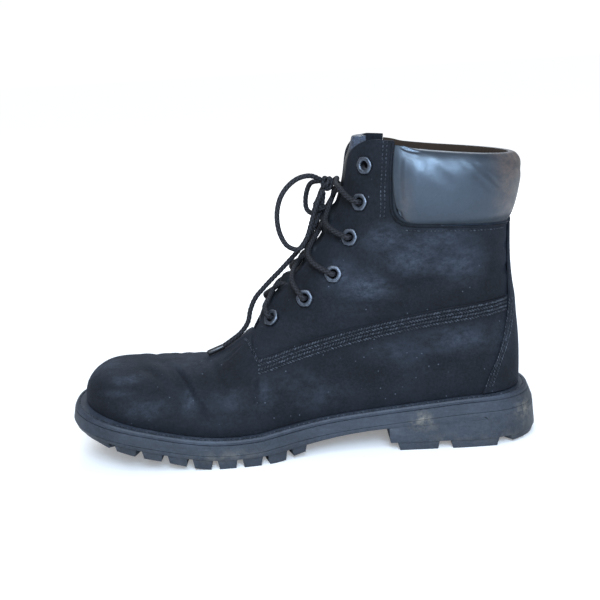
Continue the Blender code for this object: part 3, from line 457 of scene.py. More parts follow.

# %% [markdown]
# ## Leather
# Nubuck is leather whose outer skin is buffed to a short nap. It is dark and matt, it shows
# light flecks and dust, and it is darker along its stitched rows, with painted shade, and some
# dirt, in its creases and along its foot at the welt. The collar and the tongue are finished
# leather: a smooth, half-shiny skin with a fine pebbled grain, with painted shade where the
# collar turns under and a painted highlight on the tongue's top rim. Both are procedural, on
# Object coordinates, so that the grain has its true size on every piece.

# %% Leathers
# painted shade for crease troughs and the leather beside the welt, and the dark of the stitched
# rows
SEAM_SHADE = (0.004, 0.005, 0.008)
# painted shade where finished leather turns under
TUCKED_SHADE = (0.004, 0.0045, 0.006)
COOL_SHINE = (0.72, 0.86, 1.0)
BROWN_EDGE = (0.16, 0.105, 0.075)       # where the black is rubbed off finished leather


def nubuck_leather():
    """Buffed leather: dark, matt, with a fine nap that catches dust on its high places."""
    made, n, shader = new_material(
        "nubuck", 0.82, Specular_IOR_Level=0.2,
        Sheen_Weight=0.03, Sheen_Roughness=0.4, Sheen_Tint=(0.5, 0.6, 0.9),
    )
    place = n.place()
    worn = n.use(worn_tree, Deep=(0.0031, 0.0039, 0.0054), Light=(0.0115, 0.0145, 0.0208),
                 Dust=(0.072, 0.088, 0.12), Dust_mask=n.attribute("dust"))
    # painted shade: the seam mask darkens crease troughs, the leather beside the welt and the
    # stitched rows
    shaded = n.mix(n.math("MULTIPLY", n.attribute("seam_and_shade"), 0.45), worn["Color"], SEAM_SHADE)
    specks = n.add("ShaderNodeTexVoronoi", {"Vector": place, "Scale": 210.0}).outputs
    small = n.ramp(specks["Distance"], 0.05, 0.1, 0.9, 0.0)
    fleck = n.math("MULTIPLY", small, n.ramp(specks["Color"], 0.55, 0.7))
    n.put(n.mix(fleck, shaded, (0.085, 0.1, 0.13)), shader["Base Color"])
    brushed = n.math("MULTIPLY", n.noise(place, 420.0, 3.0), 0.8)
    nap = n.math("ADD", n.noise(place, 2600.0, 2.0, 0.7), brushed)
    n.put(n.bump(nap, 0.35, 0.4 * MM), shader["Normal"])
    return made


def smooth_leather(name, deep, light, roughness, shine=0.75, edge_wear_and_highlight=BROWN_EDGE):
    """Finished leather: a semi-gloss skin with fine pebbled grain, worn edges, and painted shade
    where it turns under; on the tongue the edge colour is a painted highlight.
    """
    made, n, shader = new_material(
        name, roughness, Specular_IOR_Level=shine, Specular_Tint=COOL_SHINE
    )
    place, turned_under_shade = n.place(), n.attribute("seam_and_shade")
    worn = n.use(worn_tree, Deep=deep, Light=light, Dust=edge_wear_and_highlight,
                 Dust_mask=n.attribute("dust"))
    # painted shade where the leather turns under, read from the seam mask
    shaded = n.mix(n.math("MULTIPLY", turned_under_shade, 0.8), worn["Color"], TUCKED_SHADE)
    n.put(shaded, shader["Base Color"])
    dull = n.ramp(n.noise(place, 120.0, 3.0), 0.35, 0.7, roughness - 0.04, roughness + 0.08)
    dull = n.math("ADD", dull, n.math("MULTIPLY", turned_under_shade, 0.4))
    polished = n.math("MULTIPLY", n.attribute("gloss"), 0.3)
    n.put(n.math("SUBTRACT", dull, polished), shader["Roughness"])
    cells = n.add("ShaderNodeTexVoronoi", {"Vector": place, "Scale": 1500.0},
                  feature="DISTANCE_TO_EDGE")
    pebbles = n.ramp(cells.outputs["Distance"], 0.0, 0.25)
    n.put(n.bump(pebbles, 0.14, 0.2 * MM), shader["Normal"])
    return made


NUBUCK = nubuck_leather()
COLLAR_LEATHER = smooth_leather(
    "collar_leather", (0.0105, 0.014, 0.0205), (0.02, 0.0262, 0.038), 0.37, shine=1.0
)
# a darker, duller copy of the collar leather for the front roll: its darker colour is painted
# shade where the edge turns under
SHADED_COLLAR_EDGE = smooth_leather(
    "collar_edge_shaded", (0.004, 0.005, 0.007), (0.011, 0.012, 0.015), 0.6, shine=0.35
)
# the tongue's pale blue edge colour, laid on its top rim by the dust mask, is a painted highlight
TONGUE_LEATHER = smooth_leather(
    "tongue_leather", (0.0025, 0.003, 0.004), (0.006, 0.007, 0.009), 0.5, shine=0.3,
    edge_wear_and_highlight=(0.16, 0.2, 0.29),
)
LEATHERS = (NUBUCK, COLLAR_LEATHER, SHADED_COLLAR_EDGE, TONGUE_LEATHER)
print("leathers:", ", ".join(leather.name for leather in LEATHERS))

# %% [markdown]
# ## Rubber, cord, cloth and metal
# Moulded rubber goes dull where it rubs and keeps dried mud in its hollows, so it reads two
# painted masks; the rub mask also lays a painted highlight along the welt's top at the waist.
# The braid is lighter where a strand stands up, which the braid's own mesh tells it. The
# lining is a ribbed cloth, and the eyelets are steel whose dark lacquer has gone from the rim.
# One large recipe with switches could serve them all, but short ones of their own are easier
# to read, and each can be changed without harm to the others.

# %% Rubber
DRIED_MUD = (0.2, 0.18, 0.145)
# the colour of rubbed rubber, also used for a painted highlight along the welt at the waist
RUBBED_RUBBER_AND_HIGHLIGHT = (0.1, 0.12, 0.155)
SCUFF_SCALE = (0.22, 0.22, 2.6)         # scuffs are long, level streaks


def moulded_rubber(name, deep, light):
    """Moulded rubber, dulled by use, with dried mud in its hollows and, on the welt, a painted
    highlight in its rub mask.
    """
    made, n, shader = new_material(name, 0.7, Specular_IOR_Level=0.4)
    place = n.place()
    streaks = n.noise(n.stretched(place, SCUFF_SCALE), 230.0, 3.0, 0.6)
    scuffs = n.ramp(streaks, 0.56, 0.74, 0.0, 0.42)
    # the rub mask: scuffs and wear, and a painted highlight along the welt at the waist
    film = n.math("MAXIMUM", n.attribute("dust"), scuffs)
    worn = n.use(worn_tree, Deep=deep, Light=light, Dust=RUBBED_RUBBER_AND_HIGHLIGHT, Dust_mask=film)
    clots = n.ramp(n.noise(place, 230.0, 5.0, 0.7), 0.38, 0.6)
    dried = n.math("MULTIPLY", n.attribute("mud"), clots)
    n.put(n.mix(dried, worn["Color"], DRIED_MUD), shader["Base Color"])
    n.put(n.ramp(worn["Dusty"], 0.0, 1.0, 0.55, 0.92), shader["Roughness"])
    raised = n.math("MULTIPLY", worn["Dusty"], 0.6)
    crumbs = n.math("ADD", n.noise(place, 700.0, 4.0, 0.6), raised)
    n.put(n.bump(crumbs, 0.4, 0.4 * MM), shader["Normal"])
    return made


SOLE_RUBBER = moulded_rubber("sole_rubber", (0.011, 0.0145, 0.021), (0.03, 0.038, 0.053))
WELT_RUBBER = moulded_rubber("welt_rubber", (0.012, 0.016, 0.024), (0.033, 0.042, 0.06))
print("rubbers:", SOLE_RUBBER.name, "and", WELT_RUBBER.name)


# %% Cord, thread, lining and steel
def braided_cord():
    """Polyester braid: black, with a lighter fleck where the strands stand up."""
    made, n, shader = new_material("lace_cord", 0.8, Specular_IOR_Level=0.3)
    high = n.ramp(n.attribute("high"), 0.45, 1.0)
    n.put(n.mix(high, (0.003, 0.003, 0.004), (0.022, 0.022, 0.027)), shader["Base Color"])
    return made


def sewing_thread():
    """Waxed thread: black, and greyed in places by dust."""
    made, n, shader = new_material("thread", 0.6, Specular_IOR_Level=0.3)
    grey = n.ramp(n.noise(n.place(), 520.0, 3.0, 0.7), 0.42, 0.66)
    n.put(n.mix(grey, (0.009, 0.011, 0.015), (0.062, 0.072, 0.092)), shader["Base Color"])
    return made


def lining_cloth():
    """Brown lining cloth with a fine rib."""
    made, n, shader = new_material("lining_fabric", 0.95, Specular_IOR_Level=0.15)
    ribs = n.add("ShaderNodeTexWave", {"Vector": n.place(), "Scale": 450.0}, wave_type="BANDS")
    n.put(n.mix(ribs.outputs["Fac"], (0.012, 0.008, 0.006), (0.035, 0.024, 0.017)),
          shader["Base Color"])
    return made


def gunmetal():
    """Lacquered steel whose dark coat has worn off the rim."""
    made, n, shader = new_material("gunmetal", 0.5, Metallic=1.0)
    patches = n.ramp(n.noise(n.place(), 500.0), 0.35, 0.6, 0.4, 1.0)
    bare = n.math("MULTIPLY", n.attribute("rim"), patches)
    n.put(n.mix(bare, (0.05, 0.058, 0.075), (0.2, 0.225, 0.27)), shader["Base Color"])
    return made


LACE_CORD = braided_cord()
THREAD = sewing_thread()
AGLET_PLASTIC = new_material("aglet_plastic", 0.35, Base_Color=(0.012, 0.012, 0.014))[0]
LINING = lining_cloth()
GUNMETAL = gunmetal()
SMALL_FINISHES = (LACE_CORD, THREAD, AGLET_PLASTIC, LINING, GUNMETAL)
print("small finishes:", ", ".join(finish.name for finish in SMALL_FINISHES))

# %% [markdown]
# ## The lace
# It is a round braid 3.1 mm thick: two sets of strands wind against each other round a core.
# A curve with a round bevel would give a bare hose. Here a ring of points is set at each step
# of a run, and the two sets of strands move its points in and out. The rings are carried
# along without a turn, so the braid doesn't twist where the lace bends.

# %% Rings and skins
def frames_along(points):
    """Two unturned directions across a line of points, carried along it."""
    tangents = [(b - a).normalized() for a, b in zip(points, points[1:])]
    between = [(a + b).normalized() for a, b in zip(tangents, tangents[1:])]
    normal = tangents[0].orthogonal().normalized()
    frames = []
    for tangent in (tangents[0], *between, tangents[-1]):
        normal = (normal - normal.dot(tangent) * tangent).normalized()
        frames.append((normal, tangent.cross(normal)))
    return frames


def ring_of(bm, centre, across, up, reaches):
    """A ring of points round a centre, each at its own distance from it."""
    ring = []
    for k, reach in enumerate(reaches):
        angle = 2 * pi * k / len(reaches)
        ring.append(bm.verts.new(centre + reach * (cos(angle) * across + sin(angle) * up)))
    return ring


def skin(bm, rings, closed=False):
    """Faces from ring to ring, and over both ends unless the last ring joins the first."""
    following = rings[1:] + rings[:1] if closed else rings[1:]
    for a, b in zip(rings, following):
        for k in range(len(a)):
            bm.faces.new((a[k - 1], a[k], b[k], b[k - 1]))
    if not closed:
        bm.faces.new(rings[0][::-1])
        bm.faces.new(rings[-1])


# %% Braid
LACE_RADIUS = 1.55 * MM
LACE_SIDES = 14
BRAID_STEP = 0.55 * MM
BRAID_PITCH = 5.2 * MM          # one turn of a strand along the lace
BRAID_STRANDS = 4
BRAID_RELIEF = 0.112 * MM       # how far the skin's middle lies below a strand's top
ROUND_END = (0.55, 0.9, 1.0)    # a run's first rings, as shares of its thickness


def strand_levels(run):
    """How high the braid stands at each side of the lace, from -1 to 1, after this run."""
    wind = 4 * pi * run / BRAID_PITCH
    angles = [BRAID_STRANDS * 2 * pi * k / LACE_SIDES for k in range(LACE_SIDES)]
    return [max(cos(angle + wind), cos(angle - wind)) for angle in angles]


def braid_tube(lines):
    """One mesh of braids along these lines. Its points know how high their strand is."""
    bm = bmesh.new()
    high = bm.verts.layers.float.new("high")
    for line in lines:
        points = rounded_line(line, BRAID_STEP)
        run, rings = 0.0, []
        for index, (point, frame_here) in enumerate(zip(points, frames_along(points))):
            run += (point - points[index - 1]).length if index else 0.0
            taper = ROUND_END[min(index, len(points) - 1 - index, 2)]
            levels = strand_levels(run)
            reaches = [(LACE_RADIUS - BRAID_RELIEF * (1 - level)) * taper for level in levels]
            ring = ring_of(bm, point, *frame_here, reaches)
            for vert, level in zip(ring, levels):
                vert[high] = 0.5 + 0.5 * level
            rings.append(ring)
        skin(bm, rings[::-1])
    bmesh.ops.recalc_face_normals(bm, faces=bm.faces)
    mesh = dressed(mesh_of(bm, "braid"), LACE_CORD)
    mesh.shade_smooth()
    return mesh


print("the braid's strands turn once in", round(BRAID_PITCH / MM, 1), "mm")

# %% [markdown]
# ## Where the lace runs
# A lace can be left to a simulation, but then nobody knows where its bow will lie. Here each
# run is a row of places that a hand would pull it to: out of an eyelet, over the edge of the
# leather, across the tongue, and under the other edge. The bow hangs in front of the instep:
# a long loop, a short one, a long end with its tip and a short end.

# %% Eyelets and crossings, in millimetres
EYELET_MIDDLE = 0.9     # the boot's middle plane at the eyelets, and at the crossings
CROSSING_MIDDLE = 1.1
# Eyelets from the top: place on the leather, and the way they face, for the lateral side
EYELET_ROWS = (
    # x     out   z      facing
    (41.4, 28.5, 170.4, (-0.634, 0.773, 0.018)),
    (37.6, 28.4, 149.4, (-0.592, 0.784, 0.186)),
    (30.8, 28.9, 129.4, (-0.493, 0.835, 0.243)),
    (20.2, 30.3, 108.6, (-0.320, 0.897, 0.305)),
    (2.9, 27.3, 94.6, (-0.389, 0.887, 0.250)),
    (-17.4, 20.95, 82.4, (-0.595, 0.585, 0.551)),
)
OUT_OF_EYELET = (-4.0, -0.5, 2.6)       # the lace's way out, from behind the leather
# From the eyelet over the eyestay's edge, across, and under the other edge
CROSSING_ROWS = (
    # eyelet, then (x, out from the middle, z)
    (5, ((-20.1, 23.7, 84.9), (-21.4, 17.8, 88.8), (-19.4, 12.9, 91.4), (-15.5, 0.0, 96.1),
         (-11.6, -5.7, 99.7), (-6.8, -9.7, 100.1), (-0.3, -12.5, 97.2), (2.2, -16.1, 96.6),
         (4.2, -19.2, 94.8))),
    (4, ((1.1, 31.4, 95.8), (-3.8, 23.4, 103.7), (-3.2, 12.8, 108.5), (0.8, 0.0, 112.9),
         (4.2, -5.6, 116.3), (8.6, -9.6, 116.6), (15.2, -12.4, 114.0), (17.7, -16.0, 113.6),
         (19.8, -19.5, 111.9))),
    (3, ((18.6, 34.4, 109.6), (8.6, 26.0, 115.3), (6.9, 13.2, 120.9), (14.0, 0.0, 130.6),
         (16.6, -5.7, 134.7), (20.8, -9.6, 135.9), (27.7, -12.4, 134.5), (30.3, -16.0, 134.6),
         (32.8, -19.5, 133.4))),
    (2, ((28.3, 32.8, 130.2), (20.3, 25.0, 134.3), (17.8, 13.2, 138.7), (23.0, 0.0, 150.0),
         (24.8, -5.7, 154.1), (28.6, -9.6, 155.6), (35.4, -12.4, 155.2), (37.9, -16.0, 155.9),
         (40.5, -19.5, 155.1))),
)
BAR_ROW = ((34.9, 32.0, 150.3), (31.2, 28.8, 152.3), (26.4, 20.2, 157.4), (25.1, 8.7, 159.1),
           (26.3, 0.0, 161.0))


def eyelet(index, side):
    """An eyelet's centre in metres and the way it faces."""
    x, out, z, facing = EYELET_ROWS[index]
    centre = mm((x, EYELET_MIDDLE + side * out, z))[0]
    return centre, Vector((facing[0], side * facing[1], facing[2]))


def through_eyelet(index, side):
    """The lace's way out of an eyelet, from behind the leather."""
    centre, facing = eyelet(index, side)
    return [centre + depth * MM * facing for depth in OUT_OF_EYELET]


print("eyelets a side:", len(EYELET_ROWS), "- crossings:", len(CROSSING_ROWS))

# %% The bow, in millimetres
LOOP_LONG = (
    (16.7, -1.7, 160.9), (10.3, -4.9, 163.9), (3.0, -7.0, 163.0), (-3.4, -8.3, 158.8),
    (-8.0, -9.4, 152.7), (-10.4, -10.1, 145.3), (-10.8, -10.4, 137.6), (-9.3, -10.3, 130.0),
    (-5.4, -10.0, 123.3), (1.3, -9.2, 121.1), (6.0, -8.1, 127.0), (8.8, -7.2, 134.2),
    (11.2, -6.4, 141.6), (14.0, -5.1, 148.7), (17.6, -2.6, 155.1),
)
LOOP_SHORT = (
    (17.3, 5.4, 159.6), (10.6, 9.7, 158.0), (7.4, 12.2, 150.7), (7.2, 12.9, 142.5),
    (10.9, 8.7, 140.1), (13.8, 6.0, 147.4), (18.1, 3.8, 154.3),
)
END_LONG = (
    (17.8, 0.3, 153.7), (16.5, 0.8, 145.9), (14.0, 0.9, 138.4), (10.1, 0.9, 131.4),
    (5.8, 0.9, 124.8), (0.8, 0.9, 118.6), (-4.8, 0.9, 113.0), (-10.5, 1.0, 107.4),
    (-16.3, 1.1, 102.0), (-22.0, 1.2, 96.4), (-27.3, 1.3, 90.5), (-30.7, 1.3, 83.4),
    (-32.8, 1.2, 75.7), (-37.4, 1.1, 69.5), (-43.8, 0.7, 64.9), (-50.6, -1.0, 61.1),
    (-58.0, -2.6, 58.6),
)
END_SHORT = (
    (20.6, 6.4, 156.4), (18.1, 13.2, 154.5), (15.8, 18.2, 149.3), (14.6, 20.8, 142.4),
    (13.8, 21.8, 135.0), (12.4, 22.2, 127.6),
)
KNOT_AT = Vector((20.13, 0.9, 158.3))
KNOT_TURNS = (
    # a turn's middle and its two half axes, all from the knot's centre
    ((0.0, -1.6, 0.3), (0.0, 0.4, 3.3), (-2.6, 0.3, 0.2)),
    ((0.3, 1.7, -0.2), (0.5, -0.4, 3.2), (-2.5, -0.2, 0.3)),
    ((-0.3, 0.0, 0.2), (0.2, 3.9, 0.6), (-2.0, 0.5, -1.9)),
    ((-4.6, 0.2, -13.6), (0.4, 3.0, 0.3), (3.0, 0.3, -1.6)),
    ((-5.2, 0.2, -15.6), (0.3, 2.7, -0.6), (2.6, -0.4, 1.2)),
)
print("places on the long end:", len(END_LONG))

# %% [markdown]
# ## Loops and ends
# These parts of the lace hang free, so each one is made as a braid of its own along its
# whole path, and its length is printed. The two ends carry tips. A tip is a plastic sleeve
# that is crimped over the braid, and it is a turned shape: a few rings on the lace's last
# direction, with a rounded rim at both ends.

# %% Free cords
AGLET_SIDES = 16
AGLET_LENGTH = 11.0
AGLET_OVERHANG = 0.6        # how far it stands past the end of the braid
AGLET_PROFILE = (
    # height and radius in millimetres
    (0.0, 1.2), (0.3, 1.7), (0.8, 1.78),
    (AGLET_LENGTH - 0.8, 1.78), (AGLET_LENGTH - 0.3, 1.6), (AGLET_LENGTH, 1.1),
)
CORD_PATH_STEP = 3 * MM


def aglet(name, before, end):
    """The lace's plastic tip, a tight sleeve with rounded ends over the last of the braid."""
    across, up, axis = (end - before).normalized().to_track_quat("Z", "Y").to_matrix().col
    start = end + (AGLET_OVERHANG - AGLET_LENGTH) * MM * axis
    bm = bmesh.new()
    skin(bm, [ring_of(bm, start + height * MM * axis, across, up, [radius * MM] * AGLET_SIDES)
              for height, radius in AGLET_PROFILE])
    mesh = dressed(mesh_of(bm, "aglet"), AGLET_PLASTIC)
    mesh.shade_smooth()
    return new_object(name + "_tip", mesh, "lace_cord")


for name, route, far_end in (
    ("lace_loop_long", LOOP_LONG, "object"),
    ("lace_loop_short", LOOP_SHORT, "object"),
    ("lace_end_long", END_LONG, "fitting"),
    ("lace_end_short", END_SHORT, "fitting"),
):
    line = mm(*route)
    laid = rounded_line(line)
    length = sum((b - a).length for a, b in zip(laid, laid[1:]))
    cord = new_object(name + "_braid", braid_tube([line]), "lace_cord", name)
    tips = [aglet(name, line[-2], line[-1])] if far_end == "fitting" else []
    path = [tuple(point) for point in rounded_line(line, CORD_PATH_STEP)]
    tuple(line[0])
    print(name, round(length / MM, 1), "mm long")

# %% [markdown]
# ## Crossings, bar and knot
# The rest of the lace is pulled tight and can't hang, so it isn't declared as a cord. A
# crossing is two runs, one from each side, and the bar joins the last pair of eyelets. A
# tied knot is hard to draw as one line and too small to follow, so it is a few turns of the
# same braid, each a tilted ellipse round the knot's middle.

# %% Tight lace
KNOT_STEPS = 12
KNOT_TURN = 0.97            # of a whole turn, so that the ends of a turn don't meet


def mirrored(row, side, middle):
    """A row of (x, out, z) as points on one side of a middle plane."""
    return mm(*((x, middle + side * out, z) for x, out, z in row))


def knot_turn(centre, up, out):
    """An open ellipse round the knot's middle, from its two half axes."""
    angles = [2 * pi * k / KNOT_STEPS * KNOT_TURN for k in range(KNOT_STEPS + 1)]
    return mm(*(KNOT_AT + Vector(centre) + cos(a) * Vector(up) + sin(a) * Vector(out)
                for a in angles))


for number, (index, row) in enumerate(CROSSING_ROWS, start=1):
    runs = [through_eyelet(index, side) + mirrored(row, side, CROSSING_MIDDLE) for side in SIDES]
    name = f"lace_crossing_{number}"
    new_object(name + "_braid", braid_tube(runs), "lace_cord", name)
halves = [through_eyelet(1, side) + mirrored(BAR_ROW, side, EYELET_MIDDLE) for side in SIDES]
bar = halves[0] + halves[1][-2::-1]
new_object("lace_bar_braid", braid_tube([bar]), "lace_cord", "lace_bar")
knot = braid_tube([knot_turn(*turn) for turn in KNOT_TURNS])
new_object("lace_knot_braid", knot, "lace_cord", "lace_knot")

# %% [markdown]
# ## The upper
# A lasted upper is smooth where the last fills it and creased where the foot bends: across
# the vamp behind the toe box, and low on the shaft at the ankle. A sheet thickened by Solidify
# could make it, but the solid has its true thickness and openings already. Its outer face
# needs points about 1.5 mm apart to carry the folds. The hidden inner face doesn't, so a
# Decimate modifier thins that one through a vertex group, and the piece stays light.

# %% Upper: a fine skin
SHAFT_FROM = 75             # height in millimetres over which the foot's middle is upright
SHAFT_CORE, FOOT_CORE = (60, 100), (-95, 95)    # from where to where it lies along the boot
FOOT_HEIGHT = 40.0
THINNED_TO = 0.62


def faces_out(points, normals):
    """True for points on the outer face, whose normals point away from the foot's middle."""
    x, z = points[:, X] / MM, points[:, Z] / MM
    shaft = z > SHAFT_FROM
    middle = np.stack([
        np.where(shaft, np.clip(x, *SHAFT_CORE), np.clip(x, *FOOT_CORE)),
        np.zeros(len(x)),
        np.where(shaft, z, FOOT_HEIGHT),
    ], axis=1) * MM
    return np.einsum("ij,ij->i", points - middle, normals) > 0


def thinned(mesh, keep, share):
    """The mesh with the points outside keep thinned to about this share of the whole."""
    obj = placed("thinned", mesh)
    group = obj.vertex_groups.new(name="thin")
    group.add(np.flatnonzero(~keep).tolist(), 1.0, "REPLACE")
    change = obj.modifiers.new("thin", "DECIMATE")
    change.ratio, change.vertex_group = share, "thin"
    return result_of(obj)


upper_mesh = fine_copy("upper", 3)
outer = faces_out(points_of(upper_mesh), normals_of(upper_mesh))
upper_mesh = thinned(upper_mesh, outer, THINNED_TO)
points, normals = points_of(upper_mesh), normals_of(upper_mesh)
outer = faces_out(points, normals)
upper_tree = tree_of(upper_mesh, outer)
print("upper:", len(upper_mesh.polygons), "faces,", int(outer.sum()), "points outside")

# %% [markdown]
# ## The upper's folds
# Each one has its cause: the toe box's edge, the bend of the vamp, the ankle, a heel that has
# been trodden in. They could be drawn in Sculpt Mode, but a table of routes can be read, and a
# fold can be moved without harm to the rest. Wide folds are shallow waves. The narrow ones are
# real creases, so painted shade, with some dirt, darkens their troughs in the seams' mask.

# %% Upper: folds
FOLDS = (
    # width and depth in millimetres, then the route
    # behind the toe box, on the inner side
    (1.3, 1.7, ((-80, -12, 55.4), (-72, -26, 50.9), (-66.7, -34, 45.2), (-62.8, -40, 37.9),
                (-58.5, -43, 30.5), (-54, -44, 22.0))),
    (4.2, 0.9, ((-90, -2, 57), (-81, -18, 54), (-75, -29, 48), (-70, -37, 39), (-66, -42, 30))),
    (1.1, 1.0, ((-69.5, -30, 48.3), (-64.1, -37, 41.8), (-57.1, -42, 32.9), (-50.5, -43, 24.0))),
    (3.2, 1.0, ((-99, -16, 56), (-88, -26, 52), (-80, -34, 45), (-75, -40, 35))),
    (2.4, 0.7, ((-60, -6, 55), (-54, -20, 52), (-49, -31, 45), (-46, -38, 35))),
    # the same bend from the outer side
    (2.2, 1.1, ((-84, 6, 56.5), (-76, 20, 53), (-71, 31, 47), (-68, 39, 38), (-66, 43, 29))),
    (2.6, 0.8, ((-64, 12, 55), (-57, 25, 51), (-53, 35, 43), (-50, 41, 32))),
    (3.2, 0.9, ((-97, 10, 56), (-90, 24, 52), (-85, 35, 44))),
    # under the lacing
    (1.5, 1.2, ((-28, -36, 52), (-28.6, -37, 46.6), (-28.5, -39, 42.3), (-30, -40, 34))),
    (2.8, 0.7, ((-12, -34, 54), (-4, -34, 46), (8, -33, 40))),
    (2.0, 0.8, ((-30, 38, 52), (-31, 40, 45), (-33, 42, 36))),
    (3.0, 0.6, ((-10, 36, 54), (0, 36, 46), (14, 35, 40))),
    # the ankle's bend
    (5.0, 1.0, ((30, -29, 108), (50, -31, 101), (72, -32, 99), (96, -31, 104))),
    (4.0, 0.8, ((50, -31, 122), (68, -33, 114), (88, -33, 112), (108, -28, 118))),
    (3.6, 0.7, ((16, -29, 92), (34, -29, 88), (54, -30, 90))),
    (3.0, 0.8, ((104, -30, 108), (117, -22, 104), (126, -10, 103), (129, 2, 104))),
    (2.6, 0.7, ((108, -28, 122), (119, -20, 118), (127, -8, 117))),
    (5.0, 1.0, ((32, 31, 110), (52, 33, 103), (74, 34, 101), (98, 33, 107))),
    (4.0, 0.8, ((54, 33, 124), (72, 35, 116), (90, 35, 115), (108, 30, 121))),
    (3.0, 0.8, ((102, 32, 111), (115, 25, 107), (125, 13, 106), (129, 3, 108))),
    # a heel that has been trodden in
    (4.0, 0.6, ((60, -31, 56), (78, -33, 50), (96, -34, 52))),
    (4.0, 0.6, ((58, 33, 54), (76, 35, 49), (96, 36, 52))),
    # puckers at the throat's base
    (1.3, 0.6, ((-36, -12, 63), (-41, -14, 59), (-47, -18, 55.5))),
    (1.3, 0.6, ((-37, 10, 63), (-42, 13, 59), (-48, 18, 55.5))),
)
CREASE_WIDTH = 2            # a narrower fold is a crease, and gets a crease's shade
moved, seam_and_shade = np.zeros(len(points)), np.zeros(len(points))
for width, fold in fold_moves(points, FOLDS, upper_tree):
    moved += fold
    if width < CREASE_WIDTH:
        # painted shade with some dirt: a narrow crease's trough is darkened
        seam_and_shade = np.maximum(seam_and_shade, soft_step(-fold, 0.2 * MM, 1.2 * MM))
moved *= outer
points += moved[:, None] * normals
move_points(upper_mesh, points)
print(len(FOLDS), "folds, deepest", round(moved.min() / MM, 2), "mm")

# %% [markdown]
# ## Dust on the leather
# Dust stays where leather stands proud or is touched, not evenly. An image could be painted
# on the boot, but a list of soft spots says the same in a few lines: where each one lies, how
# far it reaches along the boot, across it and up, and how strong it is. A second mask darkens
# the stitched rows under the panels' edge, and paints shade, with some dirt, into the creases
# and along the leather's foot at the welt.

# %% Upper: dust, seams and painted shade
DUST_SPOTS = (
    # middle, then half its length, width and height, and its strength
    ((-104, -28, 53), (10, 12, 2.2), 0.6), ((-110, -36, 47), (9, 10, 1.8), 0.4),
    ((-94, -44, 38), (14, 8, 7), 0.3), ((-118, -10, 56), (16, 14, 8), 0.5),
    ((-120, 12, 55), (9, 14, 6), 0.35), ((-74, -4, 56), (26, 20, 7), 0.34),
    ((-68, -38, 38), (5, 6, 10), 0.45), ((-44, -40, 40), (12, 6, 8), 0.3),
    ((-24, -38, 42), (7, 6, 9), 0.35), ((8, -33, 36), (18, 8, 8), 0.28),
    ((38, -31, 100), (14, 9, 9), 0.7), ((24, -30, 107), (10, 9, 8), 0.5),
    ((67, -32, 117), (16, 9, 11), 0.58), ((52, -33, 128), (13, 9, 8), 0.5),
    ((92, -33, 112), (17, 9, 11), 0.5), ((80, -34, 126), (20, 9, 6), 0.45),
    ((91, -31, 66), (20, 9, 8), 0.45), ((56, -31, 60), (22, 8, 8), 0.3),
    ((-5, -34, 46), (16, 8, 8), 0.25), ((118, -24, 62), (9, 10, 16), 0.25),
    ((-100, 30, 52), (12, 12, 4), 0.6), ((-68, 40, 38), (6, 6, 9), 0.35),
    ((40, 33, 102), (14, 8, 9), 0.6), ((74, 34, 116), (18, 9, 10), 0.6),
    ((90, 33, 62), (20, 8, 9), 0.35), ((-10, 36, 44), (18, 8, 9), 0.3),
    ((128, 0, 70), (8, 18, 20), 0.3), ((130, 0, 112), (8, 16, 12), 0.35),
)
FILM_FROM, FILM_FULL = 50, 18       # heights between which a film of dust thickens
PANEL_EDGE = ((-26.3, 61.3), (-18, 63.4), (-8, 66.4), (12, 71.0), (39, 77.0), (72, 82.8),
              (99, 86.2), (115, 87.6), (122, 88.0))
SHADED_ROWS, SEAM_WIDTH = (1.0, 3.5, 6.0, 8.5), 1.6
WELT_SHADE, WELT_SHADE_WIDTH = 0.9, 3.5
WELT_BELOW, FAR = 60, 1.0           # only points below this can lie near the welt


def dust_at(points, spots, low=0.0, high=0.0):
    """A dust mask: soft spots, over a film that grows from low to high towards the sole."""
    mask = low + (high - low) * along_axis(points, Z, FILM_FROM, FILM_FULL)
    for middle, half, strength in spots:
        away = (points - np.array(middle) * MM) / (np.array(half) * MM)
        mask = np.maximum(mask, strength * np.exp(-np.einsum("ij,ij->i", away, away)))
    return mask


def beside(route, side, lower=0.0, tree=upper_tree):
    """A row of (x, z), lowered, as points on one side of the leather."""
    found = [on_side(tree, side, x, z - lower) for x, z in route]
    return rounded_line(found, SEAM_STEP)


# the stitched rows under the panels' edge are darkened in the same mask
for side in SIDES:
    for lower in SHADED_ROWS:
        gap, _ = along_line(points, beside(PANEL_EDGE, side, lower))
        seam_and_shade = np.maximum(seam_and_shade, np.exp(-(gap / (SEAM_WIDTH * MM)) ** 2))
# painted shade, with some dirt: the leather darkens close to the welt, where the two meet
welt_tree = tree_of(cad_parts["welt"].data)
low = points[:, Z] < WELT_BELOW * MM
seat = np.full(len(points), FAR)
seat[low] = [welt_tree.find_nearest(Vector(point))[3] for point in points[low]]
seam_and_shade = np.maximum(seam_and_shade, WELT_SHADE * np.exp(-seat / (WELT_SHADE_WIDTH * MM)))
paint(upper_mesh, "seam_and_shade", seam_and_shade * outer)
paint(upper_mesh, "dust", dust_at(points, DUST_SPOTS, 0.03, 0.05) * outer)
new_object("upper_leather", dressed(upper_mesh, NUBUCK), "nubuck", "upper")
final_tree = tree_of(upper_mesh)
print("upper: shaded at its seams", int((seam_and_shade > 0.5).sum()), "points")

# %% [markdown]
# ## The collar
# It is foam under smooth leather, so it keeps a full round section, with a few shallow
# wrinkles where the leather is pulled in. Foam could be blown up by a simulation, but then
# its fold lines wander. Here the outside swells by a sine of its height, which leaves the
# stitched edges where they are. A brown lining starts just inside the top.

